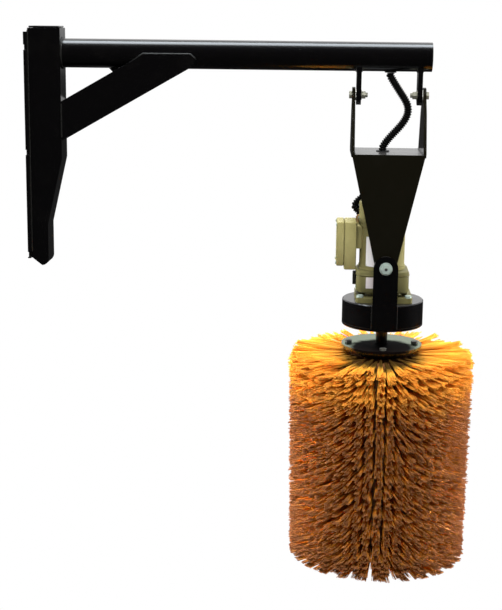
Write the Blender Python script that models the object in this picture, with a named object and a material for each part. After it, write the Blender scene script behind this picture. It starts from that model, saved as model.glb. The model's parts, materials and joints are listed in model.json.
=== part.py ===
"""Rotating cow brush on a wall bracket, hung from a yoke that swings both ways.

Metres, +Z up. The origin is on the wall plate's back face, level with the arm's centre line.
+X points out of the wall along the arm.
"""

import math

import bmesh
import bpy
from mathutils import Matrix, Vector

# Gaps, overruns and smoothness
seat_gap = 0.0003
running_gap = 0.0005
overrun = 0.010
lap = 0.001
round_sides = 32
small_sides = 16
smooth_angle_deg = 35.0

# Arm
reach = 0.960
arm_overhang = 0.110
arm_radius = 0.03805
arm_wall = 0.0036
arm_plug_thickness = 0.005

# Wall plate and its open bolt slots
plate_thickness = 0.008
plate_width = 0.110
plate_rise = 0.055
plate_drop = 0.545
slot_height = 0.014
slot_depth = 0.012
slot_rise = 0.015
slot_pitch = 0.275
slot_rows = 3

# Post, a channel that is open towards the wall
post_width = 0.080
post_depth = 0.086
post_wall = 0.005
post_rise = 0.065
post_taper_start = 0.277
post_taper_end = 0.455
post_tail_depth = 0.045
post_foot_drop = 0.566
post_foot_round = 0.018
cap_thickness = 0.005
cap_inset = 0.003
cap_edge = 0.0015

# Brace, a square tube whose side walls straddle the arm
brace_size = 0.090
brace_wall = 0.004
brace_angle_deg = 29.8
brace_reach = 0.428
brace_cheek_end = 0.437
brace_cheek_toe = 0.452
brace_cheek_toe_drop = 0.012
brace_heel_drop = 0.031
gusset_thickness = 0.006
gusset_length = 0.029
gusset_slant = 0.010

# Lugs under the arm, and the bolts that the yoke swings on
swing_drop = 0.100
lug_inner = 0.0738
lug_thickness = 0.0125
lug_radius = 0.026
lug_top_drop = 0.020
upper_bolt_radius = 0.006
upper_bolt_hole_gap = 0.0005
upper_nut_across = 0.019
upper_nut_height = 0.0115
upper_thread_out = 0.006
upper_head_height = 0.0075
upper_bush_radius = 0.014

# Yoke
strap_thickness = 0.008
strap_clearance = 0.0027
strap_radius = 0.021
strap_shoulder_drop = 0.045
strap_shoulder_half = 0.058
yoke_half_depth = 0.098
yoke_drop = 0.148
yoke_top_thickness = 0.008
yoke_plate_thickness = 0.006
yoke_plate_half = 0.0955
yoke_foot_radius = 0.030
yoke_edge = 0.0012

# Lower pivot
pivot_drop = 0.445
pivot_radius = 0.008
pivot_head_radius = 0.017
pivot_flange_height = 0.0035
pivot_hex_across = 0.0235
pivot_hex_height = 0.0075
pivot_nut_across = 0.024
pivot_nut_height = 0.013
pivot_thread_out = 0.003
pivot_bush_radius = 0.018

# Ears that carry the drum
ear_half_width = 0.0325
ear_thickness = 0.008

# Drum, below the pivot
drum_radius = 0.110
drum_top_drop = 0.102
drum_height = 0.0630
drum_cover_thickness = 0.0077
drum_edge = 0.0025
drum_neck_radius = 0.030
drum_neck_height = 0.020
drum_wall = 0.007
drum_roof = 0.010
drum_boss_wall = 0.012

# Bearing in the drum
bearing_outer = 0.042
bearing_ring = 0.008
bearing_height = 0.020
bearing_shoulder = 0.005

# Gear head and its square flange
gear_shift = -0.004
gear_half_width = 0.0705
gear_half_depth = 0.064
gear_corner = 0.026
gear_top_edge = 0.006
gear_height = 0.0595
gear_neck_half = 0.050
gear_neck_height = 0.0110
gear_flange_margin = 0.0112
gear_flange_corner = 0.012
gear_flange_thickness = 0.0137
gear_rib_thickness = 0.006
gear_rib_offset = 0.024
gear_bore_depth = 0.022
gear_cap_radius = 0.019
gear_cap_height = 0.0085
gear_cap_rise = 0.031
flange_bolt_pitch = 0.129
flange_bolt_radius = 0.005
flange_bolt_across = 0.016
flange_bolt_head = 0.0065

# Motor above the gear head
motor_shift = -0.006
motor_radius = 0.0610
motor_ring_radius = 0.0630
motor_ring_height = 0.010
motor_height = 0.125
motor_bore = 0.040
motor_end_wall = 0.010
fan_cover_radius = 0.0640
fan_cover_height = 0.059
fan_cover_wall = 0.002
fan_cover_edge = 0.006
fan_slots = 12
fan_slot_width = 0.006
fan_slot_inner = 0.018
fan_slot_outer = 0.048
rotor_shaft_radius = 0.008
rotor_core_radius = 0.036
rotor_core_height = 0.070
rotor_end_gap = 0.012
fan_radius = 0.052
fan_hub_radius = 0.014
fan_blades = 8
fan_blade_thickness = 0.003
fan_height = 0.024

# Terminal box on the motor's wall side
box_offset = 0.1090
box_base_depth = 0.0325
box_lid_depth = 0.0205
box_lid_height = 0.119
box_half_width = 0.045
box_height = 0.129
box_top_rise = 0.1115
box_edge = 0.004
box_neck_half = 0.025
box_neck_height = 0.060
box_neck_drop = 0.014
boss_depth = 0.0285
boss_half_width = 0.015
boss_height = 0.040

# Corrugated conduit, its glands and its grommet
conduit_radius = 0.0108
outlet_radius = 0.0135
outlet_lip_radius = 0.0155
outlet_lip = 0.0025
gland_clearance = 0.0006
outlet_shift = 0.0025
box_gland_shift = 0.0140
box_gland_side = 0.055
box_gland_height = 0.0165
box_gland_across = 0.0255
grommet_shift = -0.012
grommet_lip = 0.002
grommet_lip_radius = 0.0175
grommet_radius = 0.0145

# Drive shaft, brush flange and core
shaft_radius = 0.016
flange_drop = 0.227
flange_radius = 0.110
flange_thickness = 0.006
flange_screw_circle = 0.090
flange_screw_radius = 0.005
flange_screw_across = 0.016
flange_screw_head = 0.0065
flange_screws = 4
core_radius = 0.055
core_wall = 0.003
core_lip_radius = 0.104
core_lip_thickness = 0.006
brush_height = 0.578
brush_top_gap = 0.004
end_plate_radius = 0.078
end_plate_thickness = 0.006
end_plate_rise = 0.008
shaft_collar_radius = 0.026
shaft_collar_height = 0.005

# Bristles
brush_radius = 0.250
brush_foot_radius = 0.2435
tuft_columns = 26
tuft_groove = 0.034
tuft_groove_share = 0.16
bristle_rings = 3
ring_gap = 0.0008
bristle_edge = 0.012

# The conduit's route, in two stretches that meet in the grommet. Each point is a share of one
# length, counted from the crossing of the arm's and the hanging axis.
route_length = 0.100
upper_route_shares = (
    (0.025, 0, -0.42),
    (0.030, 0, -0.50),
    (0.105, 0, -0.63),
    (0.21, 0, -0.79),
    (0.325, 0, -0.96),
    (0.43, 0, -1.12),
    (0.5, 0, -1.28),
    (0.51, 0, -1.44),
    (0.46, 0, -1.6),
    (0.36, 0, -1.76),
    (0.225, 0, -1.92),
    (0.08, 0, -2.08),
    (-0.04, 0, -2.23),
    (-0.105, 0, -2.34),
    (-0.12, 0, -2.4),
    (-0.12, 0, -2.458),
    (-0.12, 0, -2.516),
)
lower_route_shares = (
    (-0.12, 0, -2.524),
    (-0.12, 0, -2.582),
    (-0.12, 0, -2.64),
    (-0.135, 0.05, -2.85),
    (-0.17, 0.17, -3.1),
    (-0.23, 0.34, -3.35),
    (-0.35, 0.5, -3.57),
    (-0.53, 0.61, -3.75),
    (-0.71, 0.65, -3.9),
    (-0.79, 0.63, -4.04),
    (-0.71, 0.58, -4.15),
    (-0.63, 0.551, -4.245),
    (-0.625, 0.55, -4.31),
    (-0.625, 0.55, -4.37),
)

# Places that follow from the sizes above
gear_flange_half = flange_bolt_pitch / 2 + gear_flange_margin
post_front = plate_thickness + seat_gap + post_depth
lug_outer = lug_inner + lug_thickness
strap_inner = lug_outer + strap_clearance
strap_outer = strap_inner + strap_thickness
swing_z = -swing_drop
pivot_z = swing_z - pivot_drop
ear_inner = drum_radius + seat_gap
ear_outer = ear_inner + ear_thickness
yoke_plate_inner = yoke_half_depth - yoke_plate_thickness
upper_hole_radius = upper_bolt_radius + upper_bolt_hole_gap
pivot_hole_radius = pivot_radius + running_gap
shaft_hole_radius = shaft_radius + running_gap


def material(name, colour, roughness, metallic):
    made = bpy.data.materials.new(name)
    made.use_nodes = True
    shader = made.node_tree.nodes["Principled BSDF"]
    shader.inputs["Base Color"].default_value = (*colour, 1.0)
    shader.inputs["Roughness"].default_value = roughness
    shader.inputs["Metallic"].default_value = metallic
    made.diffuse_color = (*colour, 1.0)
    return made


def clear_scene():
    for item in list(bpy.data.objects):
        bpy.data.objects.remove(item, do_unlink=True)


def empty(name, place, parent=None):
    made = bpy.data.objects.new(name, None)
    made.location = place
    made.parent = parent
    bpy.context.scene.collection.objects.link(made)
    return made


def finish(bm, name, paint, place, parent):
    """Turns a bmesh into a named object on its parent, shaded smooth between sharp edges."""
    bmesh.ops.recalc_face_normals(bm, faces=bm.faces)
    mesh = bpy.data.meshes.new(name)
    bm.to_mesh(mesh)
    bm.free()
    mesh.shade_smooth()
    mesh.set_sharp_from_angle(angle=math.radians(smooth_angle_deg))
    made = bpy.data.objects.new(name, mesh)
    made.location = place
    made.parent = parent
    if paint:
        mesh.materials.append(paint)
    bpy.context.scene.collection.objects.link(made)
    return made


def helper(made):
    """Marks an object as a cutter or an added shape that isn't a piece by itself."""
    made.hide_render = True
    made.display_type = "WIRE"
    return made


def boolean(target, tool, operation):
    modifier = target.modifiers.new(tool.name, "BOOLEAN")
    modifier.operation = operation
    modifier.solver = "EXACT"
    modifier.object = helper(tool)
    return target


def cut(target, tool):
    return boolean(target, tool, "DIFFERENCE")


def add(target, tool):
    return boolean(target, tool, "UNION")


def soften(target, width, segments=2):
    modifier = target.modifiers.new("edges", "BEVEL")
    modifier.width = width
    modifier.segments = segments
    modifier.limit_method = "ANGLE"
    modifier.angle_limit = math.radians(smooth_angle_deg)
    return target


def slab(name, outline, axis, low, high, paint=None, place=(0, 0, 0), parent=None):
    """Extrudes an outline along an axis. Its points are on the other two axes, in X, Y, Z order."""
    spread = {
        "X": lambda u, v: Vector((low, u, v)),
        "Y": lambda u, v: Vector((u, low, v)),
        "Z": lambda u, v: Vector((u, v, low)),
    }[axis]
    along = {"X": Vector((1, 0, 0)), "Y": Vector((0, 1, 0)), "Z": Vector((0, 0, 1))}[axis]
    bm = bmesh.new()
    face = bm.faces.new([bm.verts.new(spread(u, v)) for u, v in outline])
    raised = bmesh.ops.extrude_face_region(bm, geom=[face])
    moved = [item for item in raised["geom"] if isinstance(item, bmesh.types.BMVert)]
    bmesh.ops.translate(bm, verts=moved, vec=along * (high - low))
    return finish(bm, name, paint, place, parent)


def block(name, low, high, paint=None, place=(0, 0, 0), parent=None):
    outline = [(low[0], low[1]), (high[0], low[1]), (high[0], high[1]), (low[0], high[1])]
    return slab(name, outline, "Z", low[2], high[2], paint, place, parent)


def turned(name, profile, sides, axis="Z", paint=None, place=(0, 0, 0), parent=None):
    """Spins a closed profile of (radius, height) points about an axis. A radius of zero closes it there."""
    bm = bmesh.new()
    verts = [bm.verts.new((radius, 0, height)) for radius, height in profile]
    edges = [bm.edges.new(pair) for pair in zip(verts, verts[1:] + verts[:1])]
    edges = [edge for edge in edges if any(v.co.x > 0 for v in edge.verts)]
    bmesh.ops.spin(
        bm,
        geom=verts + edges,
        cent=(0, 0, 0),
        axis=(0, 0, 1),
        angle=math.tau,
        steps=sides,
    )
    bmesh.ops.remove_doubles(bm, verts=bm.verts, dist=seat_gap / sides)
    loose = [edge for edge in bm.edges if not edge.link_faces]
    bmesh.ops.delete(bm, geom=loose, context="EDGES")
    turn = {
        "X": Matrix.Rotation(math.pi / 2, 4, "Y"),
        "Y": Matrix.Rotation(-math.pi / 2, 4, "X"),
        "Z": Matrix.Identity(4),
    }[axis]
    bmesh.ops.transform(bm, matrix=turn, verts=bm.verts)
    return finish(bm, name, paint, place, parent)


def rod(name, radius, low, high, sides=small_sides, axis="Z", paint=None, place=(0, 0, 0), parent=None):
    profile = [(0, high), (radius, high), (radius, low), (0, low)]
    return turned(name, profile, sides, axis, paint, place, parent)


def drill(name, radius, low, high, axis, place, parent, sides=small_sides):
    """A cutter that runs past both ends of the hole that it makes."""
    return rod(name, radius, low - overrun, high + overrun, sides, axis, None, place, parent)


def ring(name, outer, inner, low, high, sides, axis="Z", paint=None, place=(0, 0, 0), parent=None):
    profile = [(inner, high), (outer, high), (outer, low), (inner, low)]
    return turned(name, profile, sides, axis, paint, place, parent)


def arc(centre, radius, start_deg, end_deg, steps):
    """Points round part of a circle, from one angle to the other."""
    points = []
    for step in range(steps + 1):
        angle = math.radians(start_deg + (end_deg - start_deg) * step / steps)
        points.append((centre[0] + radius * math.cos(angle), centre[1] + radius * math.sin(angle)))
    return points


def rounded_square(half_u, half_v, corner, steps=5):
    points = []
    for quarter, (u, v) in enumerate(((1, 1), (-1, 1), (-1, -1), (1, -1))):
        centre = (u * (half_u - corner), v * (half_v - corner))
        points += arc(centre, corner, 90 * quarter, 90 * quarter + 90, steps)
    return points


def hexagon(across):
    radius = across / 2 / math.cos(math.pi / 6)
    return arc((0, 0), radius, 0, 300, 5)


def wall_plate(parent, paint):
    half = plate_width / 2
    outline = [(-half, -plate_drop), (half, -plate_drop), (half, plate_rise), (-half, plate_rise)]
    plate = slab("wall_plate", outline, "X", 0, plate_thickness, paint, parent=parent)
    for row in range(slot_rows):
        middle = slot_rise - row * slot_pitch
        for side in (-1, 1):
            root = side * (half - slot_depth)
            tip = side * (half + overrun)
            low = (-overrun, min(root, tip), middle - slot_height / 2)
            high = (plate_thickness + overrun, max(root, tip), middle + slot_height / 2)
            cut(plate, block(f"slot_{row}_{side}", low, high, parent=parent))
    return plate


def post_outline():
    """The post's side, from its top at the wall round to its foot."""
    back = plate_thickness + seat_gap
    tail = back + post_tail_depth
    foot = arc(
        (tail - post_foot_round, -post_foot_drop + post_foot_round), post_foot_round, 0, -90, 4
    )
    front = [(back, post_rise), (post_front, post_rise), (post_front, -post_taper_start)]
    return front + [(tail, -post_taper_end)] + foot + [(back, -plate_drop)]


def post(parent, paint):
    half = post_width / 2
    channel = slab("post_channel", post_outline(), "Y", -half, half, paint, parent=parent)
    tail = plate_thickness + seat_gap + post_tail_depth
    inner = [
        (-overrun, post_rise + overrun),
        (post_front - post_wall, post_rise + overrun),
        (post_front - post_wall, -post_taper_start),
        (tail - post_wall, -post_taper_end),
        (tail - post_wall, -post_foot_drop - overrun),
        (-overrun, -post_foot_drop - overrun),
    ]
    room = half - post_wall
    cut(channel, slab("post_room", inner, "Y", -room, room, parent=parent))
    low = (plate_thickness + seat_gap + cap_inset, -half + cap_inset, post_rise + seat_gap)
    high = (post_front - cap_inset, half - cap_inset, low[2] + cap_thickness)
    soften(block("post_cap", low, high, paint, parent=parent), cap_edge)


def arm(parent, paint, plug_paint):
    start = post_front + seat_gap
    end = reach + arm_overhang
    bore = arm_radius - arm_wall
    tube = ring("arm_tube", arm_radius, bore, start, end, round_sides, "X", paint, parent=parent)
    hole = outlet_radius + seat_gap
    place = (reach + outlet_shift, 0, 0)
    cut(tube, rod("outlet_hole", hole, -arm_radius - overrun, 0, place=place, parent=parent))
    plug_radius = bore - seat_gap
    low = end - arm_plug_thickness
    rod("arm_end_cap", plug_radius, low, end, round_sides, "X", plug_paint, parent=parent)


def arm_clearance(name, parent):
    """The arm's own round with a seat gap, for shaping what is welded to it."""
    radius = arm_radius + seat_gap
    return rod(name, radius, -overrun, reach + arm_overhang, round_sides, "X", parent=parent)


def brace_line(x, top):
    """The height of the brace's underside, or of its top, at a distance from the wall."""
    slope = math.tan(math.radians(brace_angle_deg))
    rise = brace_size / math.cos(math.radians(brace_angle_deg)) if top else 0
    return -arm_radius + (x - brace_reach) * slope + rise


def brace(parent, paint):
    start = post_front + seat_gap
    slope = math.tan(math.radians(brace_angle_deg))
    crest = brace_reach + (arm_radius - brace_size / math.cos(math.radians(brace_angle_deg))) / slope
    half = brace_size / 2
    outline = [
        (start, brace_line(start, False)),
        (brace_reach, -arm_radius),
        (brace_cheek_end, -brace_heel_drop),
        (brace_cheek_toe, -brace_cheek_toe_drop),
        (brace_cheek_end, 0),
        (crest, 0),
        (start, brace_line(start, True)),
    ]
    tube = slab("brace_tube", outline, "Y", -half, half, paint, parent=parent)
    wall = brace_wall / math.cos(math.radians(brace_angle_deg))
    far = brace_cheek_toe + overrun
    inner = [
        (-overrun, brace_line(-overrun, False) + wall),
        (far, brace_line(far, False) + wall),
        (far, brace_line(far, True) - wall),
        (-overrun, brace_line(-overrun, True) - wall),
    ]
    room = half - brace_wall
    cut(tube, slab("brace_room", inner, "Y", -room, room, parent=parent))
    cut(tube, arm_clearance("brace_saddle", parent))


def gusset(parent, paint):
    """A small web in the sharp corner between the arm and the brace."""
    roof = -arm_radius - seat_gap
    slope = math.tan(math.radians(brace_angle_deg))
    corner = brace_reach - brace_size / math.sin(math.radians(brace_angle_deg))
    start = corner - gusset_length
    foot = start + gusset_slant
    seat = brace_line(foot, True) + seat_gap
    tip = foot + (roof - seat) / slope
    outline = [(start, roof), (foot, seat), (tip, roof)]
    half = gusset_thickness / 2
    slab("brace_gusset", outline, "Y", -half, half, paint, parent=parent)


def sides():
    """The two ends of the yoke's bolt line: its name and its direction along the arm."""
    return (("left", -1), ("right", 1))


def along_x(side, near, far):
    """A span on one side of the hanging axis, lowest first."""
    return sorted((side * near, side * far))


def lug(name, side, parent, paint):
    outline = arc((0, 0), lug_radius, 180, 360, 12)
    top = swing_drop - lug_top_drop
    outline += [(lug_radius, top), (-lug_radius, top)]
    low, high = along_x(side, lug_inner, lug_outer)
    place = (reach, 0, swing_z)
    plate = slab(f"lug_{name}", outline, "X", low, high, paint, place, parent)
    cut(plate, arm_clearance(f"lug_saddle_{name}", parent))
    cut(plate, drill(f"lug_hole_{name}", upper_hole_radius, low, high, "X", place, parent))


def upper_bolt(name, side, parent, paint):
    """A bolt through strap, bush and lug, its head outside and its nut between the lugs."""
    place = (reach, 0, swing_z)
    head = strap_outer + seat_gap
    nut_face = lug_inner - seat_gap
    tip = nut_face - upper_nut_height - upper_thread_out
    low, high = along_x(side, tip, head + lap)
    bolt = rod(f"upper_bolt_{name}", upper_bolt_radius, low, high, small_sides, "X", paint, place, parent)
    low, high = along_x(side, head, head + upper_head_height)
    add(bolt, slab(f"upper_head_{name}", hexagon(upper_nut_across), "X", low, high, None, place, parent))
    low, high = along_x(side, nut_face - upper_nut_height, nut_face)
    nut = slab(f"upper_nut_{name}", hexagon(upper_nut_across), "X", low, high, paint, place, parent)
    hole = upper_bolt_radius + seat_gap
    cut(nut, drill(f"upper_nut_hole_{name}", hole, low, high, "X", place, parent))


def strap(name, side, parent, paint, bush_paint):
    """A side plate of the yoke, round at the bolt and as wide as the yoke at its foot."""
    foot = -yoke_drop + seat_gap
    right = [
        (yoke_half_depth, foot),
        (strap_shoulder_half, -strap_shoulder_drop),
    ]
    outline = right + arc((0, 0), strap_radius, 0, 180, 10) + [(-u, v) for u, v in reversed(right)]
    low, high = along_x(side, strap_inner, strap_outer)
    plate = slab(f"strap_{name}", outline, "X", low, high, paint, parent=parent)
    cut(plate, drill(f"strap_hole_{name}", upper_hole_radius, low, high, "X", (0, 0, 0), parent))
    low, high = along_x(side, lug_outer + seat_gap, strap_inner - seat_gap)
    name = f"upper_bush_{name}"
    ring(name, upper_bush_radius, upper_hole_radius, low, high, small_sides, "X", bush_paint, parent=parent)


def yoke_top(parent, paint):
    half_depth = yoke_plate_inner - seat_gap
    low = (-strap_outer, -half_depth, -yoke_drop - yoke_top_thickness)
    high = (strap_outer, half_depth, -yoke_drop)
    plate = block("yoke_top_plate", low, high, paint, parent=parent)
    hole = grommet_radius + seat_gap
    place = (grommet_shift, 0, 0)
    cut(plate, drill("grommet_hole", hole, low[2], high[2], "Z", place, parent))


def yoke_side_outline():
    """A plate that narrows from the yoke's top to a round foot at the lower pivot."""
    top = -yoke_drop
    lean = math.degrees(math.atan((yoke_plate_half - yoke_foot_radius) / (pivot_drop + top)))
    foot = arc((0, -pivot_drop), yoke_foot_radius, 180 - lean, 360 + lean, 14)
    return [(-yoke_plate_half, top)] + foot + [(yoke_plate_half, top)]


def yoke_plates(parent, paint):
    for name, side in (("front", -1), ("back", 1)):
        low, high = sorted((side * yoke_plate_inner, side * yoke_half_depth))
        plate = slab(f"yoke_{name}_plate", yoke_side_outline(), "Y", low, high, paint, parent=parent)
        place = (0, 0, -pivot_drop)
        cut(plate, drill(f"yoke_hole_{name}", pivot_hole_radius, low, high, "Y", place, parent))


def grommet(parent, paint):
    """A rubber ring with a lip on each side of the yoke's top plate."""
    top = -yoke_drop
    foot = top - yoke_top_thickness
    bore = conduit_radius + gland_clearance
    profile = [
        (bore, top + seat_gap + grommet_lip),
        (grommet_lip_radius, top + seat_gap + grommet_lip),
        (grommet_lip_radius, top + seat_gap),
        (grommet_radius, top + seat_gap),
        (grommet_radius, foot - seat_gap),
        (grommet_lip_radius, foot - seat_gap),
        (grommet_lip_radius, foot - seat_gap - grommet_lip),
        (bore, foot - seat_gap - grommet_lip),
    ]
    turned("conduit_grommet", profile, small_sides, "Z", paint, (grommet_shift, 0, 0), parent)


def ear(name, side, parent, paint):
    """A strap from the lower pivot down the outside of the drum."""
    foot = -drum_top_drop - drum_height
    outline = arc((0, 0), ear_half_width, 0, 180, 12)
    outline += [(-ear_half_width, foot), (ear_half_width, foot)]
    low, high = sorted((side * ear_inner, side * ear_outer))
    plate = slab(f"ear_{name}", outline, "Y", low, high, paint, parent=parent)
    cut(plate, drill(f"ear_hole_{name}", pivot_hole_radius, low, high, "Y", (0, 0, 0), parent))


def pivot_bolt(name, side, parent, paint, bush_paint):
    """A flanged bolt through ear, bush and yoke plate, with its nut inside the yoke."""
    face = ear_outer + seat_gap
    nut_face = yoke_plate_inner - seat_gap
    tip = nut_face - pivot_nut_height - pivot_thread_out
    low, high = sorted((side * tip, side * (face + lap)))
    bolt = rod(f"pivot_bolt_{name}", pivot_radius, low, high, axis="Y", paint=paint, parent=parent)
    low, high = sorted((side * face, side * (face + pivot_flange_height)))
    add(bolt, rod(f"pivot_flange_{name}", pivot_head_radius, low, high, round_sides, "Y", parent=parent))
    top = face + pivot_flange_height
    low, high = sorted((side * (top - lap), side * (top + pivot_hex_height)))
    add(bolt, slab(f"pivot_hex_{name}", hexagon(pivot_hex_across), "Y", low, high, parent=parent))
    low, high = sorted((side * (nut_face - pivot_nut_height), side * nut_face))
    nut = slab(f"pivot_nut_{name}", hexagon(pivot_nut_across), "Y", low, high, paint, parent=parent)
    hole = pivot_radius + seat_gap
    cut(nut, drill(f"pivot_nut_hole_{name}", hole, low, high, "Y", (0, 0, 0), parent))
    low, high = sorted((side * (yoke_half_depth + seat_gap), side * (ear_inner - seat_gap)))
    name = f"pivot_bush_{name}"
    ring(name, pivot_bush_radius, pivot_hole_radius, low, high, small_sides, "Y", bush_paint, parent=parent)


def drum(parent, paint, steel):
    """The round bearing housing, bored from below, with a cover that the shaft runs through."""
    top = -drum_top_drop
    foot = top - drum_height
    bore = bearing_outer + seat_gap
    shoulder = top - drum_neck_height
    profile = [
        (drum_neck_radius, top),
        (drum_radius - drum_edge, top),
        (drum_radius, top - drum_edge),
        (drum_radius, foot),
        (drum_radius - drum_wall, foot),
        (drum_radius - drum_wall, top - drum_roof),
        (bore + drum_boss_wall, top - drum_roof),
        (bore + drum_boss_wall, foot),
        (bore, foot),
        (bore, shoulder),
        (drum_neck_radius, shoulder),
    ]
    turned("drum_housing", profile, round_sides, "Z", paint, parent=parent)
    cover_top = foot - seat_gap
    cover_foot = cover_top - drum_cover_thickness
    profile = [
        (shaft_hole_radius, cover_top),
        (drum_radius, cover_top),
        (drum_radius, cover_foot + drum_edge),
        (drum_radius - drum_edge, cover_foot),
        (shaft_hole_radius, cover_foot),
    ]
    turned("drum_cover", profile, round_sides, "Z", paint, parent=parent)
    high = shoulder - seat_gap
    low = high - bearing_height
    inner = bearing_outer - bearing_ring
    ring("bearing_outer_ring", bearing_outer, inner, low, high, round_sides, "Z", steel, parent=parent)


def gear_levels():
    """Heights below the pivot: the flange's foot and top, the neck's top and the casing's top."""
    foot = -drum_top_drop + seat_gap
    flange = foot + gear_flange_thickness
    neck = flange + gear_neck_height
    return foot, flange, neck, neck + gear_height


def gear_head(parent, paint):
    """A casing on a narrower neck and a square flange, with ribs between them."""
    foot, flange, neck, top = gear_levels()
    casing_outline = rounded_square(gear_half_width, gear_half_depth, gear_corner)
    place = (gear_shift, 0, 0)
    casing = slab("gear_head", casing_outline, "Z", neck, top, paint, place, parent)
    modifier = casing.modifiers.new("top_edge", "BEVEL")
    modifier.width = gear_top_edge
    modifier.segments = 2
    modifier.limit_method = "ANGLE"
    modifier.angle_limit = math.radians(smooth_angle_deg)
    neck_outline = rounded_square(gear_neck_half, gear_neck_half, gear_corner)
    add(casing, slab("gear_neck", neck_outline, "Z", flange - lap, neck + lap, parent=parent))
    square = rounded_square(gear_flange_half, gear_flange_half, gear_flange_corner, 3)
    add(casing, slab("gear_flange", square, "Z", foot, flange, parent=parent))
    rib_half = gear_rib_thickness / 2
    rim = gear_half_depth - lap
    for step, (across, out) in enumerate(((-1, -1), (1, -1), (-1, 1), (1, 1))):
        middle = across * gear_rib_offset
        near, far = sorted((out * (gear_neck_half - lap), out * rim))
        low = (middle - rib_half, near, flange - lap)
        high = (middle + rib_half, far, neck + lap)
        add(casing, block(f"gear_rib_front_{step}", low, high, parent=parent))
        low = (near, middle - rib_half, flange - lap)
        high = (far, middle + rib_half, neck + lap)
        add(casing, block(f"gear_rib_side_{step}", low, high, parent=parent))
    bore_top = foot + gear_bore_depth
    cut(casing, rod("gear_bore", shaft_hole_radius, foot - overrun, bore_top, round_sides, parent=parent))
    half = flange_bolt_pitch / 2
    for u in (-1, 1):
        for v in (-1, 1):
            hole = flange_bolt_radius + seat_gap
            at = (u * half, v * half, 0)
            tool = rod(f"bolt_hole_{u}_{v}", hole, foot - overrun, flange + lap, place=at, parent=parent)
            cut(casing, tool)


def gear_cap(parent, paint):
    """A round blind cap over the bore in the gear head's wall side."""
    middle = gear_levels()[2] + gear_cap_rise
    face = gear_shift - gear_half_width - seat_gap
    place = (0, 0, middle)
    low = face - gear_cap_height
    rod("gear_side_cap", gear_cap_radius, low, face, small_sides, "X", paint, place, parent)


def flange_bolts(parent, paint):
    """The four bolts that hold the gear head's flange, with the drum's top as their seat."""
    foot, flange, _, _ = gear_levels()
    half = flange_bolt_pitch / 2
    number = 0
    for v in (-1, 1):
        for u in (-1, 1):
            number += 1
            at = (u * half, v * half, 0)
            low = flange + seat_gap
            high = low + flange_bolt_head
            outline = hexagon(flange_bolt_across)
            bolt = slab(f"flange_bolt_{number}", outline, "Z", low, high, paint, at, parent)
            tip = foot + seat_gap
            name = f"flange_shank_{number}"
            add(bolt, rod(name, flange_bolt_radius, tip, low + lap, place=at, parent=parent))


def motor(parent, paint, cover_paint):
    """The motor's shell, bored for its rotor, and the cup over its fan."""
    foot = gear_levels()[3] + seat_gap
    top = foot + motor_height
    place = (motor_shift, 0, 0)
    profile = [
        (rotor_shaft_radius + running_gap, top),
        (motor_ring_radius, top),
        (motor_ring_radius, top - motor_ring_height),
        (motor_radius, top - motor_ring_height),
        (motor_radius, foot + motor_ring_height),
        (motor_ring_radius, foot + motor_ring_height),
        (motor_ring_radius, foot),
        (0, foot),
        (0, foot + motor_end_wall),
        (motor_bore, foot + motor_end_wall),
        (motor_bore, top - motor_end_wall),
        (rotor_shaft_radius + running_gap, top - motor_end_wall),
    ]
    turned("motor_shell", profile, round_sides, "Z", paint, place, parent)
    low = top + seat_gap
    high = low + fan_cover_height
    inner = fan_cover_radius - fan_cover_wall
    profile = [
        (0, high),
        (fan_cover_radius - fan_cover_edge, high),
        (fan_cover_radius, high - fan_cover_edge),
        (fan_cover_radius, low),
        (inner, low),
        (inner, high - fan_cover_edge),
        (fan_cover_radius - fan_cover_edge, high - fan_cover_wall),
        (0, high - fan_cover_wall),
    ]
    cover = turned("fan_cover", profile, round_sides, "Z", cover_paint, place, parent)
    half = fan_slot_width / 2
    for step in range(fan_slots):
        slit = block(
            f"fan_slot_{step}",
            (fan_slot_inner, -half, high - fan_cover_wall - overrun),
            (fan_slot_outer, half, high + overrun),
            place=place,
            parent=parent,
        )
        slit.rotation_euler.z = math.tau * step / fan_slots
        cut(cover, slit)
    return foot, top


def rotor(parent, shaft_paint, fan_paint, foot, top):
    """The rotor with its shaft, and the fan on the shaft's upper end."""
    base = foot + motor_end_wall
    core_low = base + rotor_end_gap
    core_high = core_low + rotor_core_height
    tip = top + seat_gap + fan_height + rotor_end_gap
    profile = [
        (0, tip),
        (rotor_shaft_radius, tip),
        (rotor_shaft_radius, core_high),
        (rotor_core_radius, core_high),
        (rotor_core_radius, core_low),
        (rotor_shaft_radius, core_low),
        (rotor_shaft_radius, base + seat_gap),
        (0, base + seat_gap),
    ]
    turned("motor_rotor", profile, small_sides, "Z", shaft_paint, parent=parent)
    outline = []
    lean = math.asin(fan_blade_thickness / 2 / fan_hub_radius)
    tip_lean = math.asin(fan_blade_thickness / 2 / fan_radius)
    for blade in range(fan_blades):
        middle = math.tau * blade / fan_blades
        corners = [(fan_hub_radius, -lean), (fan_radius, -tip_lean)]
        corners += [(radius, -angle) for radius, angle in reversed(corners)]
        for radius, angle in corners:
            outline.append((radius * math.cos(middle + angle), radius * math.sin(middle + angle)))
    low = top + rotor_end_gap
    fan = slab("cooling_fan", outline, "Z", low, low + fan_height, fan_paint, parent=parent)
    hole = rotor_shaft_radius + seat_gap
    cut(fan, drill("fan_hole", hole, low, low + fan_height, "Z", (0, 0, 0), parent))


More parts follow.
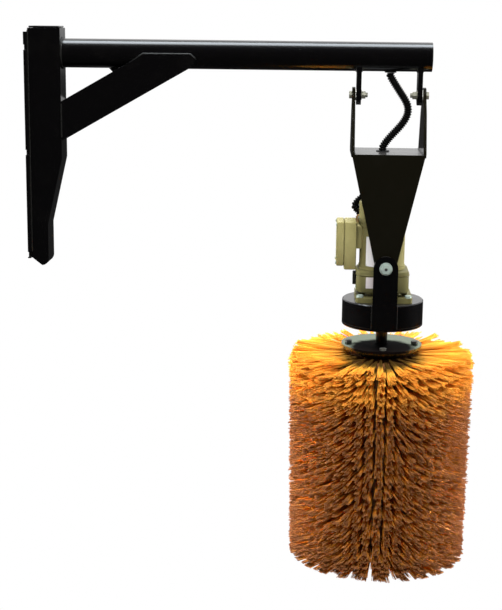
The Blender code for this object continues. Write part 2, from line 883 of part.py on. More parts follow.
def terminal_box(parent, paint):
    """The box on a neck at the motor's wall side, with its lid towards the wall."""
    top = box_top_rise
    foot = top - box_height
    inner = -box_offset + box_base_depth
    low = (-box_offset, -box_half_width, foot)
    base = block("terminal_box", low, (inner, box_half_width, top), paint, parent=parent)
    soften(base, box_edge)
    neck_top = top - box_neck_drop
    neck = block(
        "box_neck",
        (inner - box_edge - lap, -box_neck_half, neck_top - box_neck_height),
        (motor_shift, box_neck_half, neck_top),
        parent=parent,
    )
    add(base, neck)
    low = (inner - box_edge - lap, box_gland_side - boss_half_width, neck_top - boss_height)
    high = (inner + boss_depth, box_gland_side + boss_half_width, neck_top)
    add(base, block("gland_boss", low, high, parent=parent))
    clear = motor_radius + seat_gap
    cut(base, drill("box_saddle", clear, foot, top, "Z", (motor_shift, 0, 0), parent, round_sides))
    outer = -box_offset - seat_gap
    low = (outer - box_lid_depth, -box_half_width, top - box_lid_height)
    lid = block("terminal_lid", low, (outer, box_half_width, top), paint, parent=parent)
    soften(lid, box_edge)


def arm_outlet(parent, paint):
    """A rubber grommet that the conduit runs through into the arm."""
    seat = -arm_radius - seat_gap
    foot = seat - outlet_lip
    bore = conduit_radius + gland_clearance
    profile = [
        (bore, -arm_radius + arm_wall + outlet_lip),
        (outlet_radius, -arm_radius + arm_wall + outlet_lip),
        (outlet_radius, seat),
        (outlet_lip_radius, seat),
        (outlet_lip_radius, foot),
        (bore, foot),
    ]
    turned("arm_outlet", profile, small_sides, "Z", paint, (reach + outlet_shift, 0, 0), parent)


def box_gland(parent, paint):
    """A hexagon gland that stands on a boss beside the terminal box."""
    low = box_top_rise - box_neck_drop + seat_gap
    high = low + box_gland_height
    middle = -box_offset + box_base_depth + box_gland_shift
    place = (middle, box_gland_side, 0)
    body = slab("box_gland", hexagon(box_gland_across), "Z", low, high, paint, place, parent)
    bore = conduit_radius + gland_clearance
    cut(body, drill("box_gland_bore", bore, low, high, "Z", place, parent))


def brush_levels():
    """Heights in the brush's own frame, whose zero is the flange's top."""
    lip_top = -flange_thickness - seat_gap
    bristle_top = lip_top - core_lip_thickness - brush_top_gap
    bristle_foot = bristle_top - brush_height
    plate_top = bristle_foot + end_plate_rise + end_plate_thickness
    return lip_top, bristle_top, bristle_foot, plate_top


def screw_places():
    for number in range(1, flange_screws + 1):
        angle = math.tau * number / flange_screws
        yield number, (flange_screw_circle * math.cos(angle), flange_screw_circle * math.sin(angle), 0)


def brush_hub(parent, black, steel, zinc):
    """The shaft, the flange that it turns, the core tube under the flange and the plate at its foot."""
    lip_top, _, _, plate_top = brush_levels()
    plate_foot = plate_top - end_plate_thickness
    tip = flange_drop - drum_top_drop + gear_bore_depth - lap
    collar = plate_foot - seat_gap
    profile = [
        (0, tip),
        (shaft_radius, tip),
        (shaft_radius, collar),
        (shaft_collar_radius, collar),
        (shaft_collar_radius, collar - shaft_collar_height),
        (0, collar - shaft_collar_height),
    ]
    turned("drive_shaft", profile, round_sides, "Z", black, parent=parent)
    bore = shaft_radius + seat_gap
    low = -flange_thickness
    flange = ring("brush_flange", flange_radius, bore, low, 0, round_sides, "Z", black, parent=parent)
    core_bore = core_radius - core_wall
    lip_foot = lip_top - core_lip_thickness
    profile = [
        (core_bore, lip_top),
        (core_lip_radius, lip_top),
        (core_lip_radius, lip_foot),
        (core_radius, lip_foot),
        (core_radius, plate_top + seat_gap),
        (core_bore, plate_top + seat_gap),
    ]
    core = turned("core_tube", profile, round_sides, "Z", black, parent=parent)
    ring("end_plate", end_plate_radius, bore, plate_foot, plate_top, round_sides, "Z", black, parent=parent)
    hole = flange_screw_radius + seat_gap
    head_top = seat_gap + flange_screw_head
    outline = hexagon(flange_screw_across)
    for number, at in screw_places():
        cut(flange, drill(f"flange_hole_{number}", hole, -flange_thickness, 0, "Z", at, parent))
        cut(core, drill(f"core_hole_{number}", hole, lip_foot, lip_top, "Z", at, parent))
        head = slab(f"flange_screw_{number}", outline, "Z", seat_gap, head_top, zinc, at, parent)
        name = f"screw_shank_{number}"
        add(head, rod(name, flange_screw_radius, lip_foot, seat_gap + lap, place=at, parent=parent))
    high = flange_drop - drum_top_drop - drum_neck_height - seat_gap
    low = high - bearing_height
    outer = bore + bearing_ring
    ring("bearing_inner_ring", outer, bore, low, high, round_sides, "Z", steel, parent=parent)


def bristle_section(number):
    """One ring's half section, from its inner top edge outwards and down."""
    _, top, foot, plate_top = brush_levels()
    pitch = (top - foot) / bristle_rings
    high = top - number * pitch
    low = high - pitch + ring_gap

    def rim(height):
        share = (top - height) / (top - foot)
        return brush_radius + (brush_foot_radius - brush_radius) * share

    inner = core_radius + seat_gap
    first = number == 0
    last = number == bristle_rings - 1
    section = [(inner, high), (rim(high), high)]
    if first:
        section[1:] = [(rim(high) - bristle_edge, high), (rim(high), high - bristle_edge)]
    if not last:
        return section + [(rim(low), low), (inner, low)]
    step = end_plate_radius + seat_gap
    seat = plate_top + seat_gap
    return section + [
        (rim(foot), foot + bristle_edge),
        (rim(foot) - bristle_edge, foot),
        (step, foot),
        (step, seat),
        (inner, seat),
    ]


def bristle_ring(number, parent, paint):
    """A ring of bristles, with a deep groove between each column of tufts and the next."""
    section = bristle_section(number)
    spots = [(0, tuft_groove)]
    spots += [(share, 0) for share in (tuft_groove_share, 1 / 2, 1 - tuft_groove_share)]
    count = tuft_columns * len(spots)
    bm = bmesh.new()
    loops = []
    for radius, height in section:
        outside = radius > end_plate_radius + seat_gap + tuft_groove
        loop = []
        for column in range(tuft_columns):
            for share, depth in spots:
                angle = math.tau * (column + share) / tuft_columns
                away = radius - depth if outside else radius
                loop.append(bm.verts.new((away * math.cos(angle), away * math.sin(angle), height)))
        loops.append(loop)
    for upper, lower in zip(loops, loops[1:] + loops[:1]):
        for step in range(count):
            after = (step + 1) % count
            bm.faces.new((upper[step], lower[step], lower[after], upper[after]))
    finish(bm, f"bristle_ring_{number + 1}", paint, (0, 0, 0), parent)


def smooth_route(points, spacing):
    """Reads evenly spaced points from a smooth curve through a route's own points."""
    ends = [2 * points[0] - points[1]] + points + [2 * points[-1] - points[-2]]
    dense = []
    for before, start, end, after in zip(ends, ends[1:], ends[2:], ends[3:]):
        pieces = 12
        for step in range(pieces):
            t = step / pieces
            bend = 2 * start + (end - before) * t
            bend += (2 * before - 5 * start + 4 * end - after) * t**2
            bend += (3 * start - before - 3 * end + after) * t**3
            dense.append(bend / 2)
    dense.append(points[-1])
    length = sum((b - a).length for a, b in zip(dense, dense[1:]))
    count = max(2, round(length / spacing))
    route = [dense[0]]
    walked = 0
    for a, b in zip(dense, dense[1:]):
        span = (b - a).length
        while len(route) < count and walked + span >= length * len(route) / count:
            route.append(a.lerp(b, (length * len(route) / count - walked) / span))
        walked += span
    return route + [dense[-1]]


def conduit(name, shares, paint):
    curve = bpy.data.curves.new(name, "CURVE")
    curve.dimensions = "3D"
    curve.bevel_depth = conduit_radius
    curve.bevel_resolution = 2
    curve.use_fill_caps = True
    curve.materials.append(paint)
    start = Vector((reach, 0, 0))
    points = [start + route_length * Vector(share) for share in shares]
    route = smooth_route(points, conduit_radius)
    spline = curve.splines.new("POLY")
    spline.points.add(len(route) - 1)
    for spot, place in zip(spline.points, route):
        spot.co = (*place, 1)
    made = bpy.data.objects.new(name, curve)
    bpy.context.scene.collection.objects.link(made)


def build():
    clear_scene()
    black = material("black_paint", (0.012, 0.012, 0.013), 0.28, 0.0)
    zinc = material("zinc_plate", (0.62, 0.64, 0.62), 0.35, 0.9)
    steel = material("bright_steel", (0.45, 0.45, 0.46), 0.3, 1.0)
    ivory = material("motor_enamel", (0.36, 0.34, 0.19), 0.45, 0.0)
    brass = material("brass", (0.72, 0.50, 0.24), 0.3, 1.0)
    rubber = material("black_rubber", (0.015, 0.015, 0.015), 0.6, 0.0)
    nylon = material("white_nylon", (0.75, 0.74, 0.70), 0.5, 0.0)
    dark_plastic = material("fan_plastic", (0.03, 0.03, 0.03), 0.5, 0.0)
    bristle = material("orange_bristle", (0.80, 0.33, 0.05), 0.6, 0.0)
    hose = material("conduit_plastic", (0.012, 0.012, 0.012), 0.4, 0.0)

    bracket = empty("bracket_frame", (0, 0, 0))
    upper_swing = empty("upper_swing_axis", (reach, 0, swing_z), bracket)
    lower_swing = empty("lower_swing_axis", (0, 0, -pivot_drop), upper_swing)
    rotor_axis = empty("rotor_axis", (motor_shift, 0, 0), lower_swing)
    brush_axis = empty("brush_axis", (0, 0, -flange_drop), lower_swing)

    wall_plate(bracket, black)
    post(bracket, black)
    arm(bracket, black, black)
    brace(bracket, black)
    gusset(bracket, black)
    for name, side in sides():
        lug(name, side, bracket, black)
        upper_bolt(name, side, bracket, zinc)
        strap(name, side, upper_swing, black, nylon)
    arm_outlet(bracket, rubber)

    yoke_top(upper_swing, black)
    yoke_plates(upper_swing, black)
    grommet(upper_swing, rubber)

    for name, side in (("front", -1), ("back", 1)):
        ear(name, side, lower_swing, black)
        pivot_bolt(name, side, lower_swing, zinc, nylon)
    drum(lower_swing, black, steel)
    gear_head(lower_swing, ivory)
    gear_cap(lower_swing, rubber)
    flange_bolts(lower_swing, zinc)
    foot, top = motor(lower_swing, ivory, ivory)
    terminal_box(lower_swing, ivory)
    box_gland(lower_swing, brass)
    rotor(rotor_axis, steel, dark_plastic, foot, top)

    brush_hub(brush_axis, black, steel, zinc)
    for number in range(bristle_rings):
        bristle_ring(number, brush_axis, bristle)

    conduit("conduit_upper", upper_route_shares, hose)
    conduit("conduit_lower", lower_route_shares, hose)


build()
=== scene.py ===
"""The looks of a rotating cow brush that hangs from a braced wall bracket."""

import json
import math

import bmesh
import bpy
import numpy as np
from mathutils import Matrix, Vector, noise


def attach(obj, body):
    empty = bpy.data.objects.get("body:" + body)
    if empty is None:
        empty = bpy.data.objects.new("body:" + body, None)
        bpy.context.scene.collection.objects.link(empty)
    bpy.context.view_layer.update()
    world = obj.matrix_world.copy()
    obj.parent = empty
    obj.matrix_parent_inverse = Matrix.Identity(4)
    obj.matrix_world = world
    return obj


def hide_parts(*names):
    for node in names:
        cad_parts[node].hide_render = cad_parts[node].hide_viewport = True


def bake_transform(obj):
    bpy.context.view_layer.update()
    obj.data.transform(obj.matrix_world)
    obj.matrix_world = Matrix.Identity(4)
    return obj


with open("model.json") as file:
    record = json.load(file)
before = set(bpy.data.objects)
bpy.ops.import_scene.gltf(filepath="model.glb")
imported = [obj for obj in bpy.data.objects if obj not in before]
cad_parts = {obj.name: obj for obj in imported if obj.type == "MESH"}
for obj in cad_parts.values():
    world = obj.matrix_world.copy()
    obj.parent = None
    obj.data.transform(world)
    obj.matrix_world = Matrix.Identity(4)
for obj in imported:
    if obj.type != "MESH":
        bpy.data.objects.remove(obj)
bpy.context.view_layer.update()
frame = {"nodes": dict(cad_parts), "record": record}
nodes = frame["nodes"]
rng = np.random.default_rng(7)

# Places on the solids, in metres: X along the arm from the wall, Y to the back, Z up

REACH = 0.960
SWING_Z = -0.100
PIVOT_Z = -0.545
ARM_R = 0.03805
MOTOR_X = 0.954
BRUSH_TOP = -0.7883
BRUSH_FOOT = -1.3663
BRUSH_HEIGHT = BRUSH_TOP - BRUSH_FOOT

# Camera at the photograph's viewing angle

PHOTO_WIDTH = 502
FOCAL_PX = 1376.5
SENSOR_MM = 36
EYE = Vector((0.7672, -3.6837, 0.1094))
YAW, PITCH, ROLL = (math.radians(a) for a in (-2.5791, 11.9889, 0.6042))


def link(name, data):
    """An object of its own for a mesh, lamp or camera."""
    made = bpy.data.objects.new(name, data)
    bpy.context.scene.collection.objects.link(made)
    return made


def add_camera():
    level = math.cos(PITCH)
    ahead = Vector((math.sin(YAW) * level, math.cos(YAW) * level, -math.sin(PITCH)))
    across = Vector((math.cos(YAW), -math.sin(YAW), 0))
    above = across.cross(ahead)
    right = across * math.cos(ROLL) + above * math.sin(ROLL)
    up = above * math.cos(ROLL) - across * math.sin(ROLL)
    data = bpy.data.cameras.new("camera")
    data.sensor_fit = "HORIZONTAL"
    data.sensor_width = SENSOR_MM
    data.lens = FOCAL_PX * SENSOR_MM / PHOTO_WIDTH
    camera = link("camera", data)
    turn = Matrix((right, up, -ahead)).transposed().to_4x4()
    camera.matrix_world = Matrix.Translation(EYE) @ turn
    bpy.context.scene.camera = camera


add_camera()

# Materials


class Nodes:
    """Builds one node material in few words."""

    def __init__(self, name):
        self.material = bpy.data.materials.new(name)
        self.material.use_nodes = True
        self.tree = self.material.node_tree
        self.shader = self.tree.nodes["Principled BSDF"]
        self.out = self.tree.nodes["Material Output"]

    def add(self, kind, inputs=None, **settings):
        node = self.tree.nodes.new(kind)
        for key, value in settings.items():
            setattr(node, key, value)
        for key, value in (inputs or {}).items():
            self.put(node, key, value)
        return node

    def put(self, node, key, value):
        socket = node.inputs[key]
        if isinstance(value, bpy.types.NodeSocket):
            self.tree.links.new(value, socket)
        else:
            socket.default_value = value

    def set(self, **values):
        for key, value in values.items():
            self.put(self.shader, key.replace("_", " "), value)

    def place(self):
        return self.add("ShaderNodeTexCoord").outputs["Object"]

    def noise(self, scale, detail=3.0, roughness=0.5, where=None):
        inputs = {
            "Vector": where or self.place(),
            "Scale": scale,
            "Detail": detail,
            "Roughness": roughness,
        }
        return self.add("ShaderNodeTexNoise", inputs).outputs["Fac"]

    def ramp(self, value, stops):
        node = self.add("ShaderNodeValToRGB", {"Fac": value})
        band = node.color_ramp
        while len(band.elements) < len(stops):
            band.elements.new(0.5)
        for element, (spot, colour) in zip(band.elements, stops):
            element.position = spot
            if isinstance(colour, (int, float)):
                colour = (colour, colour, colour)
            element.color = (*colour, 1)
        return node.outputs["Color"]

    def scaled(self, value, low, high, to_low, to_high):
        """Maps a value from one range to another, and holds it at the ends."""
        ends = {"From Min": low, "From Max": high, "To Min": to_low, "To Max": to_high}
        return self.add("ShaderNodeMapRange", {"Value": value, **ends}).outputs[0]

    def mix(self, share, one, other):
        node = self.add("ShaderNodeMix", data_type="RGBA")
        self.put(node, 0, share)
        for index, value in ((6, one), (7, other)):
            if isinstance(value, tuple) and len(value) == 3:
                value = (*value, 1)
            self.put(node, index, value)
        return node.outputs[2]

    def math(self, operation, one, other=0.0):
        node = self.add("ShaderNodeMath", operation=operation)
        self.put(node, 0, one)
        self.put(node, 1, other)
        return node.outputs[0]

    def vary(self, base, share, value):
        """A base value plus a share of another."""
        return self.math("ADD", base, self.math("MULTIPLY", value, share))

    def away(self, place, middle):
        """How far a place is from a fixed point."""
        inputs = {0: place, 1: middle}
        return self.add("ShaderNodeVectorMath", inputs, operation="DISTANCE").outputs["Value"]

    def bump(self, height, strength, distance, under=None):
        inputs = {"Strength": strength, "Distance": distance, "Height": height}
        if under:
            inputs["Normal"] = under
        return self.add("ShaderNodeBump", inputs).outputs["Normal"]

    def edges(self, radius):
        return self.add("ShaderNodeBevel", {"Radius": radius}, samples=4).outputs["Normal"]

    def blend(self, share, one, other):
        """Mixes two shader nodes."""
        inputs = {0: share, 1: one.outputs[0], 2: other.outputs[0]}
        return self.add("ShaderNodeMixShader", inputs)

    def show(self, shader):
        self.tree.links.new(shader.outputs[0], self.out.inputs[0])


def scale_tint(tint, share):
    return tuple(share * c for c in tint)


def black_paint(name="black_powder_coat", rough=0.24, tint=(0.0006, 0.0005, 0.0006), dusty=0.09):
    """Gloss black powder coat with orange peel, a few scuffs, and dust where it lies level."""
    m = Nodes(name)
    cloud = m.noise(14, 6, 0.62)
    normal = m.add("ShaderNodeNewGeometry").outputs["Normal"]
    upward = m.add("ShaderNodeSeparateXYZ", {0: normal}).outputs["Z"]
    level = m.ramp(upward, ((0.90, 0.0), (0.99, 1.0)))
    dust = m.math("MULTIPLY", level, m.ramp(cloud, ((0.30, 0.35), (0.65, 1.0))))
    thin = m.ramp(cloud, ((0.55, 0.0), (0.80, 1.0)))
    scuff = m.ramp(m.noise(160, 2, 0.6), ((0.68, 0.0), (0.74, 1.0)))
    colour = m.mix(m.math("MULTIPLY", thin, 0.02), tint, (0.060, 0.055, 0.045))
    colour = m.mix(m.math("MULTIPLY", scuff, 0.06), colour, (0.030, 0.029, 0.026))
    colour = m.mix(m.math("MULTIPLY", dust, dusty), colour, (0.20, 0.19, 0.18))
    peel = m.bump(m.noise(420, 2), 0.04, 0.0004, m.edges(0.0014))
    m.set(Base_Color=colour, Roughness=m.vary(rough, 0.20, dust), Normal=peel)
    m.set(Specular_IOR_Level=0.35, Coat_Weight=0.5, Coat_Roughness=0.08)
    return m.material


# Where the painted shadow lies, before the shaft: its middle on the flange and among the roots
FLANGE_PAINTED_SHADE = (REACH, -0.050, BRUSH_TOP + 0.016)
ROOT_PAINTED_SHADE = (REACH, -0.080, BRUSH_TOP + 0.010)


def flange_with_painted_shade(node):
    """Gloss dark steel, with a painted shadow on one side of the shaft: darker, duller and without
    the glossy coat there.
    """
    m = Nodes("black_steel_painted_shade")
    middle = node.matrix_world.inverted() @ Vector(FLANGE_PAINTED_SHADE)
    torn = m.math("MULTIPLY", m.noise(45, 4, 0.6), 0.030)
    # painted shadow and painted dark reflection: a ragged patch before the shaft goes dark and
    # loses its gloss
    painted_shade_patch = m.ramp(m.math("ADD", m.away(m.place(), middle), torn), ((0.090, 1.0), (0.112, 0.0)))
    grain = m.noise(300, 3)
    steel = m.mix(grain, (0.006, 0.009, 0.006), (0.012, 0.016, 0.011))
    m.set(Base_Color=m.mix(painted_shade_patch, steel, (0.003, 0.002, 0.002)))
    m.set(Roughness=m.vary(0.14, 0.5, painted_shade_patch))
    m.set(Normal=m.bump(grain, 0.05, 0.0002, m.edges(0.0010)))
    m.set(Specular_IOR_Level=0.03)
    gloss = m.math("SUBTRACT", 1.0, painted_shade_patch)
    coat = m.add("ShaderNodeBsdfGlossy", {"Color": (0.68, 0.80, 0.60, 1), "Roughness": 0.10})
    sheen = m.add("ShaderNodeFresnel", {"IOR": 3.2}).outputs[0]
    m.show(m.blend(m.math("MULTIPLY", gloss, sheen), m.shader, coat))
    return m.material


def zinc(name="zinc_plate", tint=(0.31, 0.38, 0.34)):
    """Zinc-plated steel, spangled and slightly dulled."""
    m = Nodes(name)
    mottle = m.noise(300, 4, 0.6)
    grime = m.ramp(m.noise(90, 5, 0.6), ((0.45, 0.0), (0.75, 1.0)))
    colour = m.mix(mottle, scale_tint(tint, 0.72), tint)
    colour = m.mix(m.math("MULTIPLY", grime, 0.5), colour, (0.14, 0.14, 0.11))
    m.set(Base_Color=colour, Roughness=m.vary(0.26, 0.25, mottle), Metallic=0.30)
    m.set(Normal=m.bump(mottle, 0.12, 0.0004, m.edges(0.0006)))
    return m.material


def bright_steel():
    """Turned steel with fine lathe lines and a little stain."""
    m = Nodes("turned_steel")
    lines = m.add(
        "ShaderNodeTexWave",
        {"Vector": m.place(), "Scale": 500.0, "Distortion": 1.0, "Detail": 2.0},
        bands_direction="Z",
    ).outputs["Fac"]
    stain = m.ramp(m.noise(40, 4), ((0.4, (0.34, 0.34, 0.34)), (0.7, (0.22, 0.21, 0.19))))
    m.set(Base_Color=stain, Metallic=1.0)
    m.set(Roughness=m.vary(0.25, 0.12, lines))
    m.set(Normal=m.bump(lines, 0.08, 0.0002))
    return m.material


def enamel(name="motor_enamel", tint=(0.158, 0.140, 0.053), warm=(0.235, 0.212, 0.092)):
    """Olive-beige enamel on sand-cast aluminium, with specks of grime."""
    m = Nodes(name)
    cloud = m.ramp(m.noise(28, 5, 0.6), ((0.35, 0.0), (0.7, 1.0)))
    speck = m.ramp(m.noise(240, 3, 0.65), ((0.60, 0.0), (0.74, 1.0)))
    colour = m.mix(cloud, tint, tuple((a + b) / 2 for a, b in zip(tint, warm)))
    colour = m.mix(m.math("MULTIPLY", speck, 0.35), colour, scale_tint(tint, 0.7))
    m.set(Base_Color=colour, Roughness=m.vary(0.46, 0.16, cloud))
    m.set(Normal=m.bump(m.noise(330, 3), 0.16, 0.0005, m.edges(0.0016)))
    m.set(Specular_IOR_Level=0.4)
    return m.material


def brass():
    m = Nodes("brass_gland")
    tarnish = m.noise(180, 4, 0.6)
    m.set(Base_Color=m.mix(tarnish, (0.62, 0.34, 0.14), (0.80, 0.56, 0.28)), Metallic=1.0)
    m.set(Roughness=m.vary(0.24, 0.2, tarnish))
    m.set(Normal=m.bump(tarnish, 0.06, 0.0003, m.edges(0.0008)))
    return m.material


def plastic(name, tint, rough, grain=260, level=0.3):
    m = Nodes(name)
    cloud = m.noise(grain, 4, 0.6)
    m.set(Base_Color=m.mix(cloud, tint, tuple(min(1, c * 1.7 + 0.002) for c in tint)))
    m.set(Roughness=m.vary(rough, 0.14, cloud))
    m.set(Normal=m.bump(cloud, 0.08, 0.0003))
    m.set(Specular_IOR_Level=level)
    return m.material


def bare_plate(name, tint):
    """A blank pressed plate, with faint brushing."""
    m = Nodes(name)
    where = m.add("ShaderNodeMapping", {"Vector": m.place(), "Scale": (1, 1, 0.06)}).outputs[0]
    grain = m.noise(900, 3, 0.6, where)
    stain = m.noise(70, 4)
    colour = m.mix(grain, scale_tint(tint, 0.82), tint)
    colour = m.mix(m.math("MULTIPLY", stain, 0.2), colour, scale_tint(tint, 0.60))
    m.set(Base_Color=colour, Roughness=m.vary(0.3, 0.2, grain), Metallic=0.10)
    return m.material


def weld_metal():
    m = Nodes("painted_weld")
    cloud = m.noise(500, 3)
    m.set(Base_Color=m.mix(cloud, (0.002, 0.002, 0.002), (0.010, 0.010, 0.009)))
    m.set(Roughness=m.vary(0.2, 0.15, cloud))
    m.set(Normal=m.bump(cloud, 0.25, 0.0005))
    m.set(Specular_IOR_Level=0.35)
    return m.material


def bristle_material():
    """Orange polypropylene that lets light through.

    Each bristle is painted darker towards its root, as shade deep in the pack, and brown at its
    tip, partly wear and partly painted shade; a painted shadow darkens the roots before the shaft.
    A mesh says how far along a bristle and how much random tone and painted top light each point
    has.
    """
    m = Nodes("orange_bristle")
    along = m.add("ShaderNodeAttribute", attribute_name="along").outputs["Fac"]
    shade = m.add("ShaderNodeAttribute", attribute_name="shade").outputs["Fac"]
    stem = m.ramp(
        shade,
        ((0.0, (0.74, 0.30, 0.042)), (0.45, (0.96, 0.41, 0.046)), (0.95, (1.0, 0.53, 0.066))),
    )
    tip = m.ramp(
        shade,
        ((0.0, (0.25, 0.102, 0.044)), (0.45, (0.42, 0.172, 0.060)), (0.95, (1.0, 0.51, 0.070))),
    )
    # painted shade: roots darker, as shade deep in the pack; fade carries it out along the bristle
    root = m.mix(shade, (0.24, 0.095, 0.026), (0.80, 0.38, 0.050))
    fade = m.ramp(along, ((0.25, 0.0), (0.75, 1.0)))
    # partly wear and partly painted shade: the last stretch of each bristle turns brown, as tips
    # seen end-on lie in shade
    worn_and_shaded_tip = m.ramp(along, ((0.86, 0.0), (0.98, 1.0)))
    mottle = m.noise(55, 3, 0.6)
    colour = m.mix(worn_and_shaded_tip, m.mix(fade, root, stem), tip)
    dull = m.mix(0.30, colour, (0.18, 0.075, 0.025))
    colour = m.mix(m.math("MULTIPLY", mottle, 0.30), colour, dull)
    # painted shadow: the roots before the shaft go almost black
    ragged = m.math("MULTIPLY", m.noise(70, 3, 0.6), 0.040)
    spread = m.math("ADD", m.away(m.place(), ROOT_PAINTED_SHADE), ragged)
    root_painted_shade = m.ramp(spread, ((0.104, 0.90), (0.150, 0.0)))
    colour = m.mix(root_painted_shade, colour, (0.030, 0.018, 0.007))
    m.set(Base_Color=colour, Roughness=m.vary(0.34, 0.2, mottle))
    m.set(Specular_IOR_Level=0.15)
    glow = m.add("ShaderNodeBsdfTranslucent", {"Color": colour})
    m.show(m.blend(0.50, m.shader, glow))
    return m.material


BLACK = black_paint()
BLACK_SHEET = black_paint("black_sheet_metal", 0.30, (0.0026, 0.0022, 0.0009))
BLACK_SHAFT = black_paint("black_turned_steel", 0.34, (0.0010, 0.0011, 0.0010), 0.0)
ZINC = zinc()
DARK_ZINC = zinc("black_zinc_plate", (0.07, 0.07, 0.065))
DULL_ZINC = zinc("dull_zinc_plate", (0.19, 0.19, 0.15))
ENAMEL = enamel()
# the gear head's enamel, darker than the motor's
DARKER_ENAMEL = enamel("gear_head_enamel", (0.073, 0.066, 0.024), (0.108, 0.099, 0.042))
BRASS = brass()
RUBBER = plastic("black_rubber", (0.010, 0.010, 0.010), 0.5)
HOSE = plastic("conduit_plastic", (0.0012, 0.0012, 0.0012), 0.34, level=0.12)
PLATE = bare_plate("blank_nameplate", (0.86, 0.84, 0.85))
STICKER = bare_plate("blank_sticker", (0.48, 0.44, 0.44))
WELD = weld_metal()
BRISTLE = bristle_material()
# painted shade: the inside of the bristle pack, dark brown
SHADED_PITH = plastic("brush_inside_painted_shade", (0.080, 0.034, 0.012), 0.8, 60, 0.1)

SLOT_LOOKS = {
    "black_paint": BLACK,
    "zinc_plate": ZINC,
    "bright_steel": bright_steel(),
    "motor_enamel": ENAMEL,
    "brass": BRASS,
    "black_rubber": RUBBER,
    "white_nylon": plastic("white_nylon", (0.55, 0.54, 0.50), 0.42),
    "fan_plastic": plastic("fan_plastic", (0.02, 0.02, 0.02), 0.45),
    "orange_bristle": SHADED_PITH,
    "conduit_plastic": HOSE,
}
OWN_LOOKS = {
    "brush_flange": flange_with_painted_shade(nodes["brush_flange"]),
    "drive_shaft": BLACK_SHAFT,
    "gear_head": DARKER_ENAMEL,
    "yoke_front_plate": BLACK_SHEET,
    "yoke_back_plate": BLACK_SHEET,
    "strap_left": BLACK_SHEET,
    "strap_right": BLACK_SHEET,
    "upper_bolt_left": DULL_ZINC,
    "upper_bolt_right": DULL_ZINC,
    "upper_nut_left": DULL_ZINC,
    "upper_nut_right": DULL_ZINC,
    "flange_screw_1": DARK_ZINC,
    "flange_screw_2": DARK_ZINC,
    "flange_screw_3": DARK_ZINC,
    "flange_screw_4": DARK_ZINC,
}


def smooth_normals(node, widest_deg=35):
    """Shades a node's round faces smooth. Its points stay where they are."""
    mesh = node.data
    places = np.empty(len(mesh.vertices) * 3)
    mesh.vertices.foreach_get("co", places)
    keys = np.round(places.reshape(-1, 3) * 1e5).astype(np.int64)
    group = np.unique(keys, axis=0, return_inverse=True)[1].ravel()
    facing = [np.array(face.normal) for face in mesh.polygons]
    around = {}
    for face in mesh.polygons:
        normal = facing[face.index]
        for point in face.vertices:
            around.setdefault(group[point], {})[tuple(np.round(normal, 3))] = normal
    limit = math.cos(math.radians(widest_deg))
    normals = []
    for face in mesh.polygons:
        own = facing[face.index]
        for point in face.vertices:
            total = sum(n for n in around[group[point]].values() if n @ own > limit)
            normals.append(tuple(total / np.linalg.norm(total)))
    mesh.polygons.foreach_set("use_smooth", [True] * len(mesh.polygons))
    mesh.normals_split_custom_set(normals)


for part in frame["record"]["subparts"]:
    node = nodes[part["node"]]
    node.data.materials.clear()
    node.data.materials.append(OWN_LOOKS.get(part["node"], SLOT_LOOKS[part["material_slot"]]))
for node in nodes.values():
    smooth_normals(node)

# Mesh helpers

SHARP_DEG = 40


def dressed(mesh, name, look, smooth=True):
    """An object of a mesh in its look, with round faces smooth and corners sharp."""
    if smooth:
        mesh.shade_smooth()
        mesh.set_sharp_from_angle(angle=math.radians(SHARP_DEG))
    mesh.materials.append(look)
    return link(name, mesh)


def bm_object(bm, name, look, body, smooth=True):
    bmesh.ops.recalc_face_normals(bm, faces=bm.faces)
    mesh = bpy.data.meshes.new(name)
    bm.to_mesh(mesh)
    bm.free()
    made = dressed(mesh, name, look, smooth)
    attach(made, body)
    return made


def skin(bm, loops):
    """Closes a row of equal loops of points into one solid."""
    for one, two in zip(loops, loops[1:]):
        for k in range(len(one)):
            n = (k + 1) % len(one)
            bm.faces.new((one[k], one[n], two[n], two[k]))
    bm.faces.new(tuple(reversed(loops[0])))
    bm.faces.new(tuple(loops[-1]))


def lathe(bm, profile, sides, turn=Matrix.Identity(4)):
    """Adds a turned solid to a bmesh: (radius, height) points from one end to the other."""
    rings = []
    for radius, height in profile:
        if radius < 1e-6:
            rings.append([bm.verts.new(turn @ Vector((0, 0, height)))])
            continue
        ring = []
        for k in range(sides):
            a = math.tau * k / sides
            spot = Vector((radius * math.cos(a), radius * math.sin(a), height))
            ring.append(bm.verts.new(turn @ spot))
        rings.append(ring)
    for one, two in zip(rings, rings[1:]):
        for k in range(sides):
            n = (k + 1) % sides
            corners = (one[k % len(one)], one[n % len(one)], two[n % len(two)], two[k % len(two)])
            unique = list(dict.fromkeys(corners))
            if len(unique) > 2:
                bm.faces.new(unique)


def axis_turn(place, direction):
    """A matrix that puts +Z along a direction, at a place."""
    turn = Vector((0, 0, 1)).rotation_difference(Vector(direction)).to_matrix().to_4x4()
    return Matrix.Translation(place) @ turn


def box(bm, low, high):
    made = bmesh.ops.create_cube(bm, size=1.0)["verts"]
    bmesh.ops.scale(bm, vec=[h - l for l, h in zip(low, high)], verts=made)
    bmesh.ops.translate(bm, vec=[(h + l) / 2 for l, h in zip(low, high)], verts=made)


# Conduit: corrugated tube in two stretches

